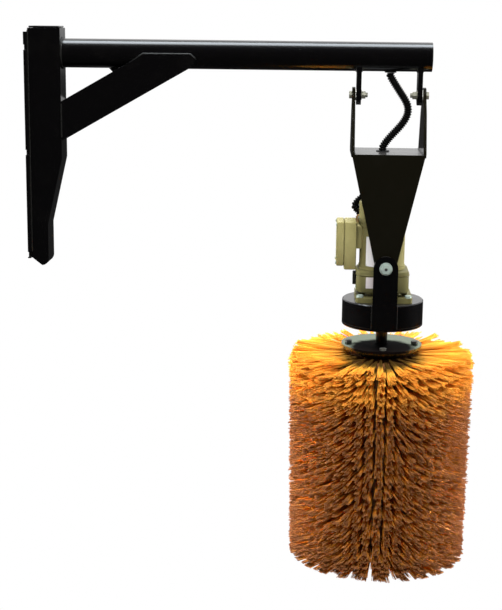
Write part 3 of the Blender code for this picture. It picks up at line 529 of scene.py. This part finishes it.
ROUTE_LENGTH = 0.100
HOSE_R = 0.0108
HOSE_GROOVE = 0.0031
HOSE_PITCH = 0.0060
HOSE_CREST = 1.6
STEPS_PER_RIB = 8
UPPER = (
    (0.025, 0, -0.42), (0.030, 0, -0.50), (0.105, 0, -0.63), (0.21, 0, -0.79),
    (0.325, 0, -0.96), (0.43, 0, -1.12), (0.5, 0, -1.28), (0.51, 0, -1.44), (0.46, 0, -1.6),
    (0.36, 0, -1.76), (0.225, 0, -1.92), (0.08, 0, -2.08), (-0.04, 0, -2.23),
    (-0.105, 0, -2.34), (-0.12, 0, -2.4), (-0.12, 0, -2.458), (-0.12, 0, -2.516),
)
LOWER = (
    (-0.12, 0, -2.524), (-0.12, 0, -2.582), (-0.12, 0, -2.64), (-0.135, 0.05, -2.85),
    (-0.17, 0.17, -3.1), (-0.23, 0.34, -3.35), (-0.35, 0.5, -3.57), (-0.53, 0.61, -3.75),
    (-0.71, 0.65, -3.9), (-0.79, 0.63, -4.04), (-0.71, 0.58, -4.15), (-0.63, 0.551, -4.245),
    (-0.625, 0.55, -4.31), (-0.625, 0.55, -4.37),
)


def smooth_points(shares, spacing):
    """Evenly spaced points on a smooth curve through the route, and its length."""
    points = [Vector((REACH, 0, 0)) + ROUTE_LENGTH * Vector(s) for s in shares]
    ends = [2 * points[0] - points[1]] + points + [2 * points[-1] - points[-2]]
    steps = 24
    dense = []
    for a, b, c, d in zip(ends, ends[1:], ends[2:], ends[3:]):
        for k in range(steps):
            t = k / steps
            bend = 2 * b + (c - a) * t + (2 * a - 5 * b + 4 * c - d) * t * t
            dense.append((bend + (3 * b - a - 3 * c + d) * t**3) / 2)
    dense.append(points[-1])
    strides = np.array([(q - p).length for p, q in zip(dense, dense[1:])])
    walked = np.concatenate([[0], np.cumsum(strides)])
    wanted = np.linspace(0, walked[-1], max(2, round(walked[-1] / spacing)) + 1)
    dense = np.array(dense)
    columns = [np.interp(wanted, walked, dense[:, k]) for k in range(3)]
    return [Vector(p) for p in zip(*columns)], walked[-1]


def spokes(path, across):
    """Two directions square to a path at each of its points, which turn as little as they can."""
    for k in range(len(path)):
        ahead = (path[min(k + 1, len(path) - 1)] - path[max(k - 1, 0)]).normalized()
        across = (across - ahead * across.dot(ahead)).normalized()
        yield across, ahead.cross(across)


def loop_about(p, radius, across, other, sides):
    angles = (math.tau * s / sides for s in range(sides))
    return [p + radius * (math.cos(a) * across + math.sin(a) * other) for a in angles]


def corrugated(name, shares, sides=20):
    """A tube whose wall swells and narrows once in every pitch."""
    path, length = smooth_points(shares, HOSE_PITCH / STEPS_PER_RIB)
    points, faces = [], []
    for k, (across, other) in enumerate(spokes(path, Vector((0, 1, 0)))):
        wave = 0.5 + 0.5 * math.cos(math.tau * k / STEPS_PER_RIB)
        radius = HOSE_R - HOSE_GROOVE * (1 - min(1, wave * HOSE_CREST))
        points += loop_about(path[k], radius, across, other, sides)
    for k in range(len(path) - 1):
        for s in range(sides):
            n = (s + 1) % sides
            faces.append((k * sides + s, k * sides + n, (k + 1) * sides + n, (k + 1) * sides + s))
    faces.append(tuple(reversed(range(sides))))
    faces.append(tuple(range((len(path) - 1) * sides, len(path) * sides)))
    mesh = bpy.data.meshes.new(name)
    mesh.from_pydata([tuple(p) for p in points], [], faces)
    mesh.update()
    made = dressed(mesh, name, HOSE)
    return made, path, length


upper_hose, upper_path, upper_length = corrugated("conduit_upper_hose", UPPER)
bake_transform(upper_hose)
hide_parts("conduit_upper")
lower_hose, lower_path, lower_length = corrugated("conduit_lower_hose", LOWER)
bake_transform(lower_hose)
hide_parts("conduit_lower")

# Bristles: rows of tufts in standing strips, with a parting line between the strips

CORE_R = 0.0553
TOP_R, FOOT_R = 0.250, 0.2435
PACKS = 3
STRIPS = 26
STRIP_TURN = math.radians(1.1)
ROWS = 44
TOP_ROWS, FOOT_ROWS = 6, 4
PER_TUFT = 24
TOP_MORE, FOOT_MORE = 2.2, 2.0
CLUMPS, TOP_CLUMPS = 5, 8
TOP_INSET, ROWS_INSET = 0.006, 0.014
NOTCH = 0.060

# Tufts: how far they lie beside their strip's middle, droop and reach, and where they start
TUFT_OFF, FOOT_CLOSER = 0.0152, 0.0070
DROOP, FOOT_DROOP = 0.007, 0.010
TOP_DROOP, TOP_DROOP_PER_ROW = -0.004, 0.0035
TIP_BELOW, TIP_ABOVE = 0.003, 0.008
REACH_MORE, REACH_LESS = 0.0025, 0.0030
SHOULDER_DEPTH, SHOULDER_CUT, SHOULDER_MOST = 0.045, 0.013, 1.2
ROOT_R_TOP, ROOT_R_FOOT, ROOT_R = 0.088, 0.060, 0.125
ROOT_FAN, FALL_POWER = 0.25, 1.6

# Spreads of the random draws for a tuft, its clumps and its bristles, and how much steadier
# some of them are at the foot
TUFT_ASIDE, TUFT_DROOP, TOP_TUFT_DROOP = 0.0010, 0.0028, 0.0065
CLUMP_ASIDE, CLUMP_FALL, CLUMP_REACH = 0.0098, 0.0036, 0.0022
BRISTLE_ASIDE, FOOT_ASIDE, BRISTLE_FALL, BRISTLE_REACH = 0.0017, 0.0026, 0.0011, 0.0025
STEADY_ASIDE, STEADY_FALL, STEADY_REACH = 0.7, 0.6, 0.5

# Tone: shares of chance, and of the painted top light that fades below the top
TUFT_TONE, CLUMP_TONE, BRISTLE_TONE, PAINTED_TOP_LIGHT_TONE = 0.20, 0.15, 0.20, 0.68
PAINTED_TOP_LIGHT_START, PAINTED_TOP_LIGHT_DEPTH, PAINTED_TOP_LIGHT_SPREAD = 1.45, 0.110, 0.06

# A bristle: its radius, its crimp, its narrower tip, and where its middle ring lies
BRISTLE_R = (0.00095, 0.00145)
CRIMP = 0.0013
TIP_TAPER = 0.60
MID_SHARE, MID_FALL_SHARE = 0.6, 0.42


def rim_radius(z):
    share = (BRUSH_TOP - z) / BRUSH_HEIGHT
    return TOP_R + (FOOT_R - TOP_R) * share


def tuft(row, column):
    """One tuft: roots and tips of its bristles, their tones, and how far out each one starts."""
    strip, half = divmod(column, 2)
    top_tier = row < TOP_ROWS
    at_foot = row >= ROWS - FOOT_ROWS
    count = round(PER_TUFT * (TOP_MORE if top_tier else FOOT_MORE if at_foot else 1))
    clumps = TOP_CLUMPS if top_tier else CLUMPS
    rows_height = BRUSH_HEIGHT - ROWS_INSET
    root_z = BRUSH_TOP - TOP_INSET - rows_height * (row + 0.25 + 0.5 * half) / ROWS
    to_foot = np.clip((BRUSH_FOOT + NOTCH - root_z) / NOTCH, 0, 1)

    # Where the tips go: each tuft parts into clumps that lean and reach a little differently
    centre = (2 * half - 1) * (TUFT_OFF - FOOT_CLOSER * to_foot)
    centre += rng.normal(0, TUFT_ASIDE) * (1 - STEADY_ASIDE * to_foot)
    droop = DROOP + FOOT_DROOP * to_foot + rng.normal(0, TUFT_DROOP)
    if top_tier:
        droop = TOP_DROOP + TOP_DROOP_PER_ROW * row + rng.normal(0, TOP_TUFT_DROOP)
    which = rng.integers(0, clumps, count)
    clump_aside = rng.uniform(-CLUMP_ASIDE, CLUMP_ASIDE, clumps)
    if at_foot:
        clump_aside = np.linspace(-CLUMP_ASIDE, CLUMP_ASIDE, clumps)
    clump_fall = rng.normal(0, CLUMP_FALL, clumps) * (1 - STEADY_FALL * to_foot)
    clump_reach = rng.normal(0, CLUMP_REACH, clumps) * (1 - STEADY_REACH * to_foot)
    own_aside = rng.normal(0, FOOT_ASIDE if at_foot else BRISTLE_ASIDE, count)
    aside = centre + clump_aside[which] + own_aside
    tip_z = root_z - droop - clump_fall[which] + rng.normal(0, BRISTLE_FALL, count)
    tip_z = np.clip(tip_z, BRUSH_FOOT - TIP_BELOW, BRUSH_TOP + TIP_ABOVE)
    shoulder = np.clip(1 - (BRUSH_TOP - tip_z) / SHOULDER_DEPTH, 0, SHOULDER_MOST) ** 2
    reach = rim_radius(tip_z) + REACH_MORE - REACH_LESS * math.sqrt(row / ROWS)
    reach = reach - SHOULDER_CUT * shoulder + clump_reach[which]
    reach = reach - np.abs(rng.normal(0, BRISTLE_REACH, count))

    # Only the outer stretch is made where the rest is never seen
    inner = ROOT_R_TOP if top_tier else ROOT_R_FOOT if at_foot else ROOT_R
    way = (inner - CORE_R) / (reach - CORE_R)
    middle = math.tau * (strip + 0.5) / STRIPS + STRIP_TURN
    tip_angle = middle + aside / TOP_R
    fan = ROOT_FAN + (1 - ROOT_FAN) * way
    root_angle = middle + (centre + (aside - centre) * fan) / TOP_R
    start_z = root_z + (tip_z - root_z) * way**FALL_POWER
    roots = np.stack([inner * np.cos(root_angle), inner * np.sin(root_angle), start_z], 1)
    tips = np.stack([reach * np.cos(tip_angle), reach * np.sin(tip_angle), tip_z], 1)

    # painted top light: the top rows are lighter, where light from above falls on them
    painted_top_light = PAINTED_TOP_LIGHT_START - (BRUSH_TOP - root_z) / PAINTED_TOP_LIGHT_DEPTH + rng.normal(0, PAINTED_TOP_LIGHT_SPREAD)
    tone = TUFT_TONE * rng.uniform() + CLUMP_TONE * rng.uniform(0, 1, clumps)[which]
    tone = tone + BRISTLE_TONE * rng.uniform(0, 1, count) + PAINTED_TOP_LIGHT_TONE * np.clip(painted_top_light, 0, 1)
    return roots, tips, np.stack([np.minimum(tone, 1.0), way], 1)


def bristle_mesh(name, roots, tips, shades):
    """Thousands of fine, slightly crimped bristles, each a three-sided taper of three rings."""
    starts, ends = np.concatenate(roots), np.concatenate(tips)
    shade, inside = np.concatenate(shades).T
    count = len(starts)
    widths = rng.uniform(*BRISTLE_R, count)
    ahead = ends - starts
    ahead /= np.linalg.norm(ahead, axis=1)[:, None]
    side = np.cross(ahead, (0.0, 0.0, 1.0))
    side /= np.linalg.norm(side, axis=1)[:, None]
    up = np.cross(side, ahead)
    mids = starts + MID_SHARE * (ends - starts)
    mids[:, 2] = starts[:, 2] + MID_FALL_SHARE * (ends[:, 2] - starts[:, 2])
    sideways = side * rng.normal(0, CRIMP, count)[:, None]
    mids += sideways + up * rng.normal(0, CRIMP, count)[:, None]
    rings = []
    for centre, taper in ((starts, 1.0), (mids, 1.0), (ends, TIP_TAPER)):
        for k in range(3):
            angle = math.tau * k / 3 + 0.5
            spoke = math.cos(angle) * side + math.sin(angle) * up
            rings.append(centre + spoke * (widths * taper)[:, None])
    points = np.stack(rings, axis=1).reshape(-1, 3)
    points[:, 0] += REACH
    pattern = []
    for ring in (0, 3):
        for k in range(3):
            n = (k + 1) % 3
            pattern.append((ring + k, ring + n, ring + 3 + n, ring + 3 + k))
    first_points = 9 * np.arange(count)[:, None, None]
    quads = (np.array(pattern)[None] + first_points).reshape(-1, 4)
    caps = (np.array([(6, 7, 8)])[None] + first_points).reshape(-1, 3)
    mesh = bpy.data.meshes.new(name)
    mesh.vertices.add(len(points))
    mesh.vertices.foreach_set("co", points.astype(np.float32).ravel())
    loops = np.concatenate([quads.ravel(), caps.ravel()])
    mesh.loops.add(len(loops))
    mesh.loops.foreach_set("vertex_index", loops.astype(np.int32))
    first = np.concatenate([np.arange(len(quads)) * 4, 4 * len(quads) + np.arange(len(caps)) * 3])
    mesh.polygons.add(len(first))
    mesh.polygons.foreach_set("loop_start", first.astype(np.int32))
    mesh.update(calc_edges=True)
    mesh.validate()
    mesh.shade_smooth()
    middle = inside + (1 - inside) * MID_SHARE
    along = np.stack([inside] * 3 + [middle] * 3 + [np.ones(count)] * 3, axis=1)
    for key, values in (("along", along.ravel()), ("shade", np.repeat(shade, 9))):
        attribute = mesh.attributes.new(key, "FLOAT", "POINT")
        attribute.data.foreach_set("value", values.astype(np.float32))
    mesh.materials.append(BRISTLE)
    made = link(name, mesh)
    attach(made, "brush")
    return made


def brush_pith():
    """The inside of the bristle pack, painted dark brown as shade, which shows only as shadow
    between the tufts.
    """
    profile = (
        (0.0560, BRUSH_TOP - 0.018),
        (0.110, BRUSH_TOP - 0.020),
        (0.150, BRUSH_TOP - 0.035),
        (0.160, BRUSH_TOP - 0.060),
        (0.160, BRUSH_FOOT + 0.070),
        (0.120, BRUSH_FOOT + 0.045),
        (0.0560, BRUSH_FOOT + 0.030),
    )
    bm = bmesh.new()
    lathe(bm, profile, 64, Matrix.Translation((REACH, 0, 0)))
    made = bm_object(bm, "brush_pith", SHADED_PITH, "brush")


for number in range(PACKS):
    rows = range(ROWS * number // PACKS, ROWS * (number + 1) // PACKS)
    tufts = [tuft(row, column) for row in rows for column in range(2 * STRIPS)]
    pack = bristle_mesh(f"bristle_pack_{number + 1}", *zip(*tufts))
    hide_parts(f"bristle_ring_{number + 1}")
brush_pith()

# Weld beads

BEAD_STEP = 0.0009
BEAD_SIDES = 8


def bead(bm, path, radius, ripple=0.0032):
    """Adds a rippled bead that follows a path."""
    path = [Vector(p) for p in path]
    dense = []
    for a, b in zip(path, path[1:]):
        steps = max(1, round((b - a).length / BEAD_STEP))
        dense += [a.lerp(b, k / steps) for k in range(steps)]
    dense.append(path[-1])
    walked = 0.0
    loops = []
    for k, (across, other) in enumerate(spokes(dense, Vector((0.31, 0.87, 0.38)))):
        p = dense[k]
        if k:
            walked += (p - dense[k - 1]).length
        wave = 0.80 + 0.20 * abs(math.sin(math.pi * walked / ripple)) + 0.10 * noise.noise(p * 150)
        end = min(1.0, 0.35 + walked / (2 * radius)) if k < len(dense) - 2 else 0.5
        ring = loop_about(p, radius * wave * end, across, other, BEAD_SIDES)
        loops.append([bm.verts.new(q) for q in ring])
    skin(bm, loops)


def arc_x(x, radius, steps=48):
    """Points on a full circle about the arm's axis."""
    angles = (math.tau * k / steps for k in range(steps + 1))
    return [Vector((x, radius * math.cos(a), radius * math.sin(a))) for a in angles]


def bracket_welds():
    post_face, arm_end = 0.0958, 1.0652
    bm = bmesh.new()
    bead(bm, arc_x(post_face, ARM_R + 0.0012), 0.0028)
    bead(bm, arc_x(arm_end, 0.0352), 0.0016)
    cheek_edge = ((0.285, -0.0165), (0.313, 0.0014), (0.437, 0.0014), (0.4515, -0.0105))
    for side in (-1, 1):
        bead(bm, [(x, 0.0412 * side, z) for x, z in cheek_edge], 0.0024)
        bead(bm, [(0.0956, 0.0452 * side, z) for z in (-0.1300, -0.2200)], 0.0024)
        bead(bm, [(0.0088, 0.0405 * side, z) for z in (0.0600, -0.5300)], 0.0022, 0.004)
        bead(bm, [(x, 0.0042 * side, -0.0392) for x in (0.2200, 0.2440)], 0.0016)
    lug_faces = (0.8728, 0.8871, 1.0329, 1.0472)
    half_lug, steps = 0.0255, 8
    for x in lug_faces:
        path = []
        for k in range(-steps, steps + 1):
            y = half_lug * k / steps
            path.append((x, y, -math.sqrt((ARM_R + 0.0004) ** 2 - y * y)))
        bead(bm, path, 0.0023)
    bm_object(bm, "bracket_welds", WELD, "bracket")


def yoke_welds():
    above, below = -0.2474, -0.2566
    bm = bmesh.new()
    for x in (0.8716, 1.0484):
        for z in (above, below):
            bead(bm, [(x, -0.0890, z), (x, 0.0890, z)], 0.0021)
    for y in (-0.0914, 0.0914):
        bead(bm, [(0.8740, y, below), (1.0460, y, below)], 0.0021)
    bm_object(bm, "yoke_welds", WELD, "yoke")


def carrier_welds():
    drum_edge, ear_face = 0.1105, 0.1112
    ear_top, top, low = -0.6480, -0.6500, -0.7090
    bm = bmesh.new()
    for side in (-1, 1):
        for x in (0.9268, 0.9932):
            y = side * (math.sqrt(drum_edge**2 - (x - REACH) ** 2) + 0.0006)
            bead(bm, [(x, y, top), (x, y, low)], 0.0024)
            bead(bm, [(x, side * ear_face, ear_top), (x, y, top)], 0.0022)
    bm_object(bm, "carrier_welds", WELD, "carrier")


# Bolts, plates and small parts. A profile gives (radius, height) points from one end to the other

WASHER = ((0.0113, 0.0), (0.0135, 0.0), (0.0135, 0.0014), (0.0113, 0.0014), (0.0113, 0.0))
THREAD_TURN = ((0.00605, 0.0), (0.0066, 0.0003), (0.00605, 0.0007))
BOLT_FACE = ((0.0, 0.0), (0.0088, 0.0), (0.0088, 0.0003), (0.0080, 0.0005), (0.0, 0.0005))
SOCKET = ((0.0, 0.0), (0.0044, 0.0), (0.0044, 0.0004), (0.0, 0.0004))
PLATE_RIVET = ((0.0014, 0.0), (0.0012, 0.0006), (0.0, 0.0009))
COVER_SCREW = ((0.0042, 0.0), (0.0042, 0.0016), (0.0030, 0.0026), (0.0, 0.0028))
LID_SCREW = ((0.0040, 0.0), (0.0040, 0.0012), (0.0028, 0.0022), (0.0, 0.0024))
PLUG_SEAT = ((0.0100, 0.0), (0.0100, 0.0022), (0.0, 0.0022))
OIL_PLUG = ((0.0078, 0.0), (0.0078, 0.0050), (0.0070, 0.0058), (0.0, 0.0058))
COLLAR = ((0.0110, 0.0), (0.0122, 0.0008), (0.0122, 0.0046), (0.0112, 0.0056), (0.0110, 0.0056))


def swing_bolt_washers():
    """Thin washers at the swing bolts, and thread on what stands out of the nuts."""
    washer_face, thread_start, thread_pitch = 0.0735, 0.0608, 0.0011
    bm = bmesh.new()
    for side in (-1, 1):
        inward = (-side, 0, 0)
        lathe(bm, WASHER, 32, axis_turn((REACH + side * washer_face, 0, SWING_Z), inward))
        for k in range(4):
            x = REACH + side * (thread_start - thread_pitch * k)
            lathe(bm, THREAD_TURN, 24, axis_turn((x, 0, SWING_Z), inward))
    bm_object(bm, "swing_bolt_washers", DULL_ZINC, "bracket")


def pivot_bolt_heads():
    pieces = (
        ("pivot_bolt_faces", ZINC, BOLT_FACE, 0.12965, 32),
        ("pivot_bolt_sockets", RUBBER, SOCKET, 0.13000, 6),
    )
    for name, look, profile, out, sides in pieces:
        bm = bmesh.new()
        for side in (-1, 1):
            lathe(bm, profile, sides, axis_turn((REACH, out * side, PIVOT_Z), (0, side, 0)))
        bm_object(bm, name, look, "carrier")


def blank_nameplate():
    """A thin plate on the round motor. Its angles count from -Y towards +X."""
    inner, outer = 0.0612, 0.0612 + 0.0007
    low, high = -0.5512, -0.4720
    start, end, steps = -46, -2, 14
    loops = []
    bm = bmesh.new()
    for k in range(steps + 1):
        a = math.radians(start + (end - start) * k / steps)
        ring = []
        for r, z in ((inner, low), (outer, low), (outer, high), (inner, high)):
            ring.append(bm.verts.new((MOTOR_X + r * math.sin(a), -r * math.cos(a), z)))
        loops.append(ring)
    skin(bm, loops)
    bm_object(bm, "blank_nameplate", PLATE, "carrier")


def cover_screws():
    """Rivets of the nameplate, and screws of the fan cover and of the box's lid."""
    bm = bmesh.new()
    for angle in (-44, -4):
        a = math.radians(angle)
        out = Vector((math.sin(a), -math.cos(a), 0))
        for z in (-0.5485, -0.4745):
            way = axis_turn(Vector((MOTOR_X, 0, z)) + out * 0.0619, out)
            lathe(bm, PLATE_RIVET, 12, way)
    for k in range(3):
        a = math.tau * (k + 0.4) / 3
        out = Vector((math.cos(a), math.sin(a), 0))
        way = axis_turn(Vector((MOTOR_X, 0, -0.4290)) + out * 0.0640, out)
        lathe(bm, COVER_SCREW, 16, way)
    for y in (-0.0375, 0.0375):
        for z in (-0.4410, -0.5450):
            lathe(bm, LID_SCREW, 16, axis_turn((0.8302, y, z), (-1, 0, 0)))
    bm_object(bm, "cover_screws", ZINC, "carrier")


def gear_head_details():
    """Sticker and ridge on the gear head, the plug at its back, and the collar of the gland."""
    bm = bmesh.new()
    box(bm, (0.9105, -0.0646, -0.6085), (0.9365, -0.0641, -0.5785))
    bm_object(bm, "blank_sticker", STICKER, "carrier", smooth=False)
    middle_x, half_x, half_y, corner, ridge_z = 0.956, 0.0705, 0.0640, 0.026, -0.5745
    plug_x, plug_z = 0.985, -0.5990
    ridge = []
    for side_x, side_y, start in ((1, 1, 0), (-1, 1, 90), (-1, -1, 180), (1, -1, 270)):
        for k in range(9):
            a = math.radians(start + 90 * k / 8)
            x = middle_x + side_x * (half_x - corner) + corner * math.cos(a)
            y = side_y * (half_y - corner) + corner * math.sin(a)
            ridge.append((x, y, ridge_z))
    bm = bmesh.new()
    bead(bm, ridge + ridge[:1], 0.0016, 1.0)
    lathe(bm, PLUG_SEAT, 24, axis_turn((plug_x, 0.0642, plug_z), (0, 1, 0)))
    bm_object(bm, "gear_head_ridge", DARKER_ENAMEL, "carrier")
    bm = bmesh.new()
    lathe(bm, OIL_PLUG, 6, axis_turn((plug_x, 0.0665, plug_z), (0, 1, 0)))
    lathe(bm, COLLAR, 28, axis_turn((0.8976, 0.0550, -0.4306), (0, 0, 1)))
    bm_object(bm, "brass_plug_and_collar", BRASS, "carrier")


bracket_welds()
yoke_welds()
carrier_welds()
swing_bolt_washers()
pivot_bolt_heads()
blank_nameplate()
cover_screws()
gear_head_details()

# Studio: floor, world and lamps

FLOOR_Z = -2.35
WHITE = (1, 1, 1, 1)
SHADOW_NEAR, SHADOW_FAR = 0.9, 1.7
DIFFUSE_LEVEL = 0.30
GRID_SPREAD_DEG = 26


def stage_mesh():
    """A floor that curves up into a backdrop."""
    front, bend, radius, back, top, width = -9.0, 6.0, 3.0, 9.0, 9.0, 14.0
    line = [(front, FLOOR_Z), (bend, FLOOR_Z)]
    for k in range(1, 9):
        a = math.pi / 2 * k / 8
        line.append((bend + radius * math.sin(a), FLOOR_Z + radius * (1 - math.cos(a))))
    line.append((back, FLOOR_Z + top))
    bm = bmesh.new()
    left = [bm.verts.new((-width, y, z)) for y, z in line]
    right = [bm.verts.new((width, y, z)) for y, z in line]
    for k in range(len(line) - 1):
        bm.faces.new((left[k], right[k], right[k + 1], left[k + 1]))
    mesh = bpy.data.meshes.new("studio_floor")
    bm.to_mesh(mesh)
    bm.free()
    mesh.shade_smooth()
    return mesh


def add_stage():
    """Seen directly, the floor holds a soft shadow under the object and is white farther off.

    In reflections it darkens towards the ground, and as a source of light it is grey.
    """
    m = Nodes("studio_floor")
    m.set(Base_Color=(0.45, 0.45, 0.45, 1), Roughness=0.9)
    m.set(Specular_IOR_Level=0.0)
    path = m.add("ShaderNodeLightPath")
    seen = m.math("MAXIMUM", path.outputs["Is Camera Ray"], path.outputs["Is Transmission Ray"])
    place = m.add("ShaderNodeNewGeometry").outputs["Position"]
    away = m.away(place, (REACH, 0.0, FLOOR_Z))
    fade = m.scaled(away, SHADOW_NEAR, SHADOW_FAR, 0.55, 1.0)
    white = m.add("ShaderNodeEmission", {"Color": WHITE, "Strength": 1.0})
    pale = m.add("ShaderNodeBsdfDiffuse", {"Color": (0.90, 0.90, 0.90, 1)})
    height = m.add("ShaderNodeSeparateXYZ", {0: place}).outputs["Z"]
    rise = m.scaled(height, -0.6, 0.8, 0.025, 1.0)
    mirrored = m.add("ShaderNodeEmission", {"Color": WHITE, "Strength": rise})
    lit = m.blend(path.outputs["Is Glossy Ray"], m.shader, mirrored)
    m.show(m.blend(seen, lit, m.blend(fade, pale, white)))
    mesh = stage_mesh()
    mesh.materials.append(m.material)
    floor = link("studio_floor", mesh)


def add_world():
    """White when seen, an even low light on the object, and dark towards the camera in gloss."""
    world = bpy.data.worlds.new("studio")
    world.use_nodes = True
    tree = world.node_tree
    path = tree.nodes.new("ShaderNodeLightPath")
    place = tree.nodes.new("ShaderNodeTexCoord")
    split = tree.nodes.new("ShaderNodeSeparateXYZ")
    tree.links.new(place.outputs["Generated"], split.inputs[0])
    mirrored = tree.nodes.new("ShaderNodeMapRange")
    tree.links.new(split.outputs["Y"], mirrored.inputs["Value"])
    for key, value in (("From Min", -0.5), ("From Max", 0.5), ("To Min", 0.03), ("To Max", 1.0)):
        mirrored.inputs[key].default_value = value

    def choose(flag, otherwise, value):
        """One level for rays of a kind, and another level or socket for the rest."""
        mix = tree.nodes.new("ShaderNodeMix")
        tree.links.new(path.outputs[flag], mix.inputs[0])
        for index, level in ((2, otherwise), (3, value)):
            if isinstance(level, bpy.types.NodeSocket):
                tree.links.new(level, mix.inputs[index])
            else:
                mix.inputs[index].default_value = level
        return mix.outputs[0]

    level = choose("Is Glossy Ray", DIFFUSE_LEVEL, mirrored.outputs[0])
    level = choose("Is Camera Ray", level, 1.0)
    level = choose("Is Transmission Ray", level, 1.0)
    back = tree.nodes["Background"]
    tree.links.new(level, back.inputs["Strength"])
    back.inputs["Color"].default_value = WHITE
    bpy.context.scene.world = world


def lamp(name, place, aim, size, power, colour=(1, 1, 1)):
    data = bpy.data.lights.new(name, "AREA")
    data.shape = "RECTANGLE"
    data.size, data.size_y = size
    data.energy = power
    data.color = colour
    made = link(name, data)
    made.location = place
    made.rotation_euler = (Vector(aim) - Vector(place)).to_track_quat("-Z", "Y").to_euler()
    return made


add_stage()
add_world()
lamp("arm_strip", (0.55, 0.35, 2.2), (0.55, 0.0, 0.0), (3.4, 1.1), 100, (0.86, 0.94, 1.0))
softboxes = (
    lamp("top_back", (1.0, 1.7, 2.2), (REACH, 0.0, -0.8), (2.6, 1.6), 380),
    lamp("top_front", (0.9, -2.2, 2.4), (REACH, 0.0, -0.8), (2.4, 1.2), 350),
    lamp("left_side", (-2.0, 1.35, -1.15), (REACH, 0.0, -1.12), (0.8, 0.8), 19),
    lamp("right_side", (3.9, 1.35, -1.15), (REACH, 0.0, -1.12), (0.8, 0.8), 21),
)
for softbox in softboxes:
    softbox.visible_glossy = False
for gridded in softboxes[2:]:
    gridded.data.spread = math.radians(GRID_SPREAD_DEG)

bpy.context.scene.view_settings.view_transform = "Standard"
